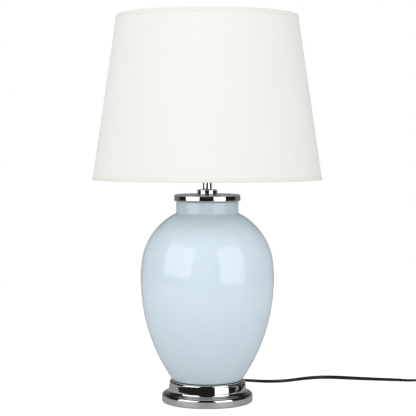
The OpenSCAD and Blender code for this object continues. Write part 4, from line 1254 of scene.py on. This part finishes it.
class LAMP_OT_holder(bpy.types.Operator):
    """Turns the black lamp holder, with its thread, and the fluted ring that clamps the shade"""
    bl_idname = "lamp.holder"
    bl_label = "Lamp holder"

    def execute(self, context):
        s = context.scene.lamp_holder
        low, top = low_z("holder_cap"), high_z("holder_cap")
        skin_r = reach("holder_cap")
        neck_r, wall = 9 * MM, 2 * MM
        cap = [
            (5.1 * MM, low), (neck_r - 0.5 * MM, low), (neck_r, low + 0.5 * MM), (neck_r, low + 5 * MM),
            *bend((neck_r, low + 5 * MM), (neck_r, low + 8 * MM), (skin_r, top - 11 * MM),
                  (skin_r, top - 5 * MM), 14)[1:],
            (skin_r, top), (skin_r - wall, top), (skin_r - wall, top - 5 * MM),
            *bend((skin_r - wall, top - 5 * MM), (skin_r - wall, top - 10 * MM),
                  (neck_r - 1 * MM, low + 9 * MM), (neck_r - 1 * MM, low + 7 * MM), 10)[1:],
            (5.1 * MM, low + 7 * MM),
        ]
        turn_piece("holder_cap_moulding", cap, "lamp", "black_holder", "holder_cap", Steps=128)
        flange_z, body_top = low_z("holder_body"), high_z("holder_body")
        flange_r = reach("holder_body")
        shelf_z = flange_z + 3 * MM
        root_r = skin_r + 1 * MM - s.thread_depth
        body = [
            (16.7 * MM, flange_z), *arc((flange_r - 0.6 * MM, flange_z + 0.6 * MM), 0.6 * MM, -90, 0, 4),
            *arc((flange_r - 0.6 * MM, shelf_z - 0.6 * MM), 0.6 * MM, 0, 90, 4), (root_r, shelf_z),
            *line((root_r, shelf_z + 0.3 * MM), (root_r, body_top - 1 * MM), 0.35 * MM),
            *arc((root_r - 1 * MM, body_top - 1 * MM), 1 * MM, 0, 90, 5),
            (s.bore_r, body_top), (s.bore_r, flange_z + 5 * MM), (16.7 * MM, flange_z + 5 * MM),
        ]
        turn_piece("holder_body_moulding", body, "lamp", "black_holder", "holder_body", **{
            "Steps": 128, "Pitch": s.thread_pitch, "Thread Depth": s.thread_depth, "Lead": 1.0,
            "Thread Low": shelf_z + 1 * MM, "Thread High": body_top - 1.5 * MM,
            "Beyond Radius": root_r - 0.3 * MM})
        ring_low, ring_high = low_z("shade_clamp_ring"), high_z("shade_clamp_ring")
        ring_r = reach("shade_clamp_ring")
        inner = skin_r + 1.3 * MM
        ring = [
            (inner, ring_low), *arc((ring_r - 0.8 * MM, ring_low + 0.8 * MM), 0.8 * MM, -90, 0, 4),
            *line((ring_r, ring_low + 1 * MM), (ring_r, ring_high - 1.4 * MM), 0.6 * MM),
            *arc((ring_r - 1.2 * MM, ring_high - 1.2 * MM), 1.2 * MM, 0, 90, 6),
            (inner, ring_high),
        ]
        turn_piece("clamp_ring_fluted", ring, "clamp_ring", "black_holder", "shade_clamp_ring", **{
            "Steps": s.grips * 10, "Grips": float(s.grips), "Grip Depth": s.grip_depth,
            "Grip Low": ring_low + 1.6 * MM, "Grip High": ring_high + 1 * MM,
            "Beyond Radius": ring_r - 2 * MM})
        return {"FINISHED"}


class LAMP_OT_bulb(bpy.types.Operator):
    """Turns the opal bulb: its glass, its rolled screw cap, its insulator and its solder tip"""
    bl_idname = "lamp.bulb"
    bl_label = "Bulb"

    def execute(self, context):
        s = context.scene.lamp_bulb
        glass_low, glass_top, globe_r = low_z("bulb_glass"), high_z("bulb_glass"), reach("bulb_glass")
        centre_z = glass_top - globe_r
        start_deg = -28
        cos, sin = math.cos(math.radians(start_deg)), math.sin(math.radians(start_deg))
        start = (globe_r * cos, centre_z + globe_r * sin)
        pull = (start[0] + 9 * MM * sin, start[1] - 9 * MM * cos)
        outline = [
            (0, glass_low - 1 * MM), (s.neck_r - 0.6 * MM, glass_low - 1 * MM),
            (s.neck_r - 0.6 * MM, glass_low),
            *bend((s.neck_r, glass_low + 0.4 * MM), (s.neck_r, glass_low + 14 * MM), pull, start, 20),
            *arc((0, centre_z), globe_r, start_deg, 90, 40)[1:],
        ]
        turn_piece("bulb_opal_globe", outline, "bulb", "opal_glass", "bulb_glass", closed=False, Steps=128)
        low, top = low_z("bulb_screw_cap"), high_z("bulb_screw_cap")
        cap = [(0, low), (s.cap_r - 0.8 * MM, low),
               *line((s.cap_r, low + 0.8 * MM), (s.cap_r, top), 0.4 * MM), (s.cap_r, top), (0, top)]
        turn_piece("bulb_cap_rolled", cap, "bulb", "bulb_aluminium", "bulb_screw_cap", closed=False, **{
            "Steps": 128, "Pitch": s.thread_pitch, "Thread Depth": s.thread_depth, "Lead": 1.0,
            "Thread Low": low + 1.5 * MM, "Thread High": top - 3.5 * MM, "Fade": 2 * MM,
            "Beyond Radius": s.cap_r - 0.2 * MM})
        cone_low, cone_top = low_z("bulb_insulator"), high_z("bulb_insulator")
        cone = [(0, cone_low), *arc((5 * MM, cone_low + 0.5 * MM), 0.5 * MM, -90, -30, 4),
                (reach("bulb_insulator"), cone_top), (0, cone_top)]
        turn_piece("bulb_insulator_glass", cone, "bulb", "black_glass", "bulb_insulator",
                   closed=False, Steps=96)
        tip_low, tip_top, tip_r = low_z("bulb_tip"), high_z("bulb_tip"), reach("bulb_tip")
        tip = [*bend((0, tip_low), (tip_r * 0.7, tip_low), (tip_r, tip_low + 0.8 * MM),
                     (tip_r, tip_top), 8), (0, tip_top)]
        turn_piece("bulb_tip_solder", tip, "bulb", "solder", "bulb_tip", closed=False, Steps=64)
        return {"FINISHED"}


# ---------------------------------------------------------------- shade


def shade_radius(z):
    """Outside radius of the fabric at a height, from the two hems' outer faces."""
    low, high = low_z("shade_low_hem"), high_z("shade_top_hem")
    s = bpy.context.scene.lamp_shade
    low_r = reach("shade_low_hem") - s.hem_t
    return low_r + (s.top_r - low_r) * (z - low) / (high - low)


def cone_skin(outer_depth, inner_depth, low, high, seam_w, uv_name, steps=240, rows=16):
    """A closed conical skin with a glued overlap at the back, and a map in metres over it."""
    shape = bmesh.new()
    layer = shape.loops.layers.uv.new(uv_name)
    mid = (low + high) / 2
    mid_r = shade_radius(mid)
    seam_turn = seam_w / mid_r
    thickness = inner_depth - outer_depth

    def lift(angle):
        """The outer end of the panel lies on the inner one at the back."""
        near = abs((angle - math.pi / 2 + math.pi) % math.tau - math.pi)
        return thickness * 0.55 * (1 - ease((near - seam_turn / 2) / 0.012))

    grid = []
    for side, depth in ((0, outer_depth), (1, inner_depth)):
        for j in range(rows + 1):
            z = low + (high - low) * j / rows
            ring = []
            for i in range(steps):
                angle = math.tau * i / steps
                bump = lift(angle) if side == 0 else 0
                r = shade_radius(z) - depth + bump
                ring.append(shape.verts.new((r * math.cos(angle), r * math.sin(angle), z)))
            grid.append(ring)
    outer, inner = grid[:rows + 1], grid[rows + 1:]

    def skin(lines, flip):
        for j in range(len(lines) - 1):
            for i in range(steps):
                n = (i + 1) % steps
                corners = [(lines[j][i], i, j), (lines[j][n], i + 1, j), (lines[j + 1][n], i + 1, j + 1),
                           (lines[j + 1][i], i, j + 1)]
                if flip:
                    corners.reverse()
                face = shape.faces.new([c[0] for c in corners])
                for loop, (_, across, along) in zip(face.loops, corners):
                    loop[layer].uv = (math.tau * across / steps * mid_r, (high - low) * along / rows)

    skin(outer, False)
    skin(inner, True)
    skin([outer[-1], inner[-1]], False)
    skin([inner[0], outer[0]], False)
    bmesh.ops.recalc_face_normals(shape, faces=shape.faces)
    mesh = bpy.data.meshes.new("skin")
    shape.to_mesh(mesh)
    shape.free()
    smooth(mesh)
    return mesh


def hem_section(s, side, edge):
    """Outline of a tape that is turned over the edge of the shade and its wire."""
    panel_t = s.fabric_t + s.lining_t
    fold_r = s.wire_r + s.hem_t
    wire_z = edge - side * fold_r
    wire_x = shade_radius(wire_z) - panel_t - s.wire_r - s.hem_t
    tape_z, fold_z, panel_z = edge - side * s.hem_h, edge - side * 2 * fold_r, edge - side * s.hem_t
    brow = 0.7 * MM
    outer = shade_radius(edge) + s.hem_t
    return [
        (shade_radius(tape_z) + 0.05 * MM, tape_z),
        (shade_radius(tape_z) + s.hem_t, tape_z + side * 0.3 * MM),
        *arc((outer - brow, edge - side * brow), brow, 0, side * 90, 5),
        (wire_x, edge),
        *arc((wire_x, wire_z), fold_r, side * 100, side * 260, 14),
        (shade_radius(fold_z) - panel_t, fold_z), (shade_radius(panel_z) - panel_t, panel_z),
        (shade_radius(panel_z), panel_z),
    ]


def make_arms(s):
    """The straight wire arms from the carrier ring down to the lower ring, welded at both ends."""
    hub_z = (low_z("shade_carrier") + high_z("shade_carrier")) / 2
    inner = Vector((0, reach("shade_carrier") - 0.6 * MM, hub_z))
    wire_low, wire_high = low_z("shade_low_wire"), high_z("shade_low_wire")
    ring_r = reach("shade_low_wire") - s.wire_r
    outer = Vector((0, ring_r - 1.6 * MM, (wire_low + wire_high) / 2))
    length = (outer - inner).length
    r = s.wire_r
    root = arc((0, 0), r, -60, 0, 4)
    weld = bend((r, length - 2 * MM), (r * 1.1, length - 1 * MM), (r * 1.5, length),
                (r * 1.3, length + 0.4 * MM), 5)
    arm = [(0, root[0][1]), *root, *line((r, 0.2 * MM), (r, length - 2 * MM), 4 * MM), *weld[1:],
           (0, length + 0.6 * MM)]
    one = laid(turned(arm, "white_wire", closed=False, Steps=32), inner, outer - inner)
    mesh = grow(tree_named("repeated", repeated_tree), one, {
        "Count": s.arms, "Turn": (0, 0, math.tau / s.arms), "Material": material_for("white_wire")})
    smooth(mesh)
    place("shade_arms_wire", mesh, "shade", "white_wire", "shade_arms")


class LAMP_OT_shade(bpy.types.Operator):
    """Makes the shade: cloth, lining, hems turned over the wire rings, arms and carrier"""
    bl_idname = "lamp.shade"
    bl_label = "Shade"

    def execute(self, context):
        s = context.scene.lamp_shade
        low, high = low_z("shade_fabric"), high_z("shade_fabric")
        edge_low, edge_high = low_z("shade_low_hem"), high_z("shade_top_hem")
        panel_t = s.fabric_t + s.lining_t
        skin = cone_skin(0, s.fabric_t, low, high, s.seam_w, "cloth")
        fabric = place("shade_cloth", skin, "shade", "shade_fabric", "shade_fabric")
        skin = cone_skin(s.fabric_t + 0.02 * MM, panel_t, low, high, 0.0, "film")
        lining = place("shade_film", skin, "shade", "shade_lining", "shade_lining")
        for name, node, side, edge in (("shade_top_tape", "shade_top_hem", 1, edge_high),
                                       ("shade_low_tape", "shade_low_hem", -1, edge_low)):
            section = hem_section(s, side, edge)
            turn_piece(name, section, "shade", "shade_tape", node, Steps=240)
        make_arms(s)
        ring_piece("shade_carrier_ring", 20.2 * MM, "shade", "white_wire", "shade_carrier", Steps=128)
        low_r, top_r = shade_radius(low), shade_radius(high)
        return {"FINISHED"}


# ---------------------------------------------------------------- inner parts


INNER = {
    "base_ballast": "ballast_iron", "threaded_rod": "threaded_steel", "rod_washer": "steel_plate",
    "rod_nut": "threaded_steel", "flex_clamp": "white_nylon", "clamp_screws": "screw_steel",
    "inner_flex": "tie_plastic", "live_core": "brown_core", "neutral_core": "blue_core",
    "terminal_block": "steatite", "terminal_screws": "brass", "thread_shell": "brass",
    "centre_contact": "brass", "shade_top_wire": "white_wire", "shade_low_wire": "white_wire",
    "switch_screws": "screw_steel", "switch_contacts": "brass",
}


class LAMP_OT_inner_parts(bpy.types.Operator):
    """Gives the CAD parts inside the lamp their finishes"""
    bl_idname = "lamp.inner_parts"
    bl_label = "Inner parts"

    def execute(self, context):
        for node, slot in INNER.items():
            mesh = frame["nodes"][node].data
            mesh.materials.clear()
            mesh.materials.append(material_for(slot))
        return {"FINISHED"}


# ---------------------------------------------------------------- add-on


OPERATORS = (
    LAMP_OT_stage, LAMP_OT_flex, LAMP_OT_base, LAMP_OT_jar, LAMP_OT_stem, LAMP_OT_holder,
    LAMP_OT_bulb, LAMP_OT_shade, LAMP_OT_inner_parts,
)


class LAMP_PT_sidebar(bpy.types.Panel):
    """Lists the lamp's operators in the order in which they run"""
    bl_label = "Table lamp"
    bl_idname = "LAMP_PT_sidebar"
    bl_space_type = "VIEW_3D"
    bl_region_type = "UI"
    bl_category = "Lamp"

    def draw(self, context):
        for operator in OPERATORS:
            self.layout.operator(operator.bl_idname)
        for key, group in SETTINGS.items():
            box = self.layout.box()
            for name in group.__annotations__:
                box.prop(getattr(context.scene, key), name)


CLASSES = (*SETTINGS.values(), *OPERATORS, LAMP_PT_sidebar)


def register():
    """Registers the classes and hangs their settings on the scene."""
    for cls in CLASSES:
        bpy.utils.register_class(cls)
    for key, group in SETTINGS.items():
        setattr(bpy.types.Scene, key, bpy.props.PointerProperty(type=group))


def unregister():
    """Takes the settings and the classes away again."""
    for key in SETTINGS:
        delattr(bpy.types.Scene, key)
    for cls in reversed(CLASSES):
        bpy.utils.unregister_class(cls)


def main():
    """Builds the whole lamp."""
    register()
    for operator in OPERATORS:
        group, name = operator.bl_idname.split(".")
        getattr(getattr(bpy.ops, group), name)()


if __name__ == "__main__":
    main()
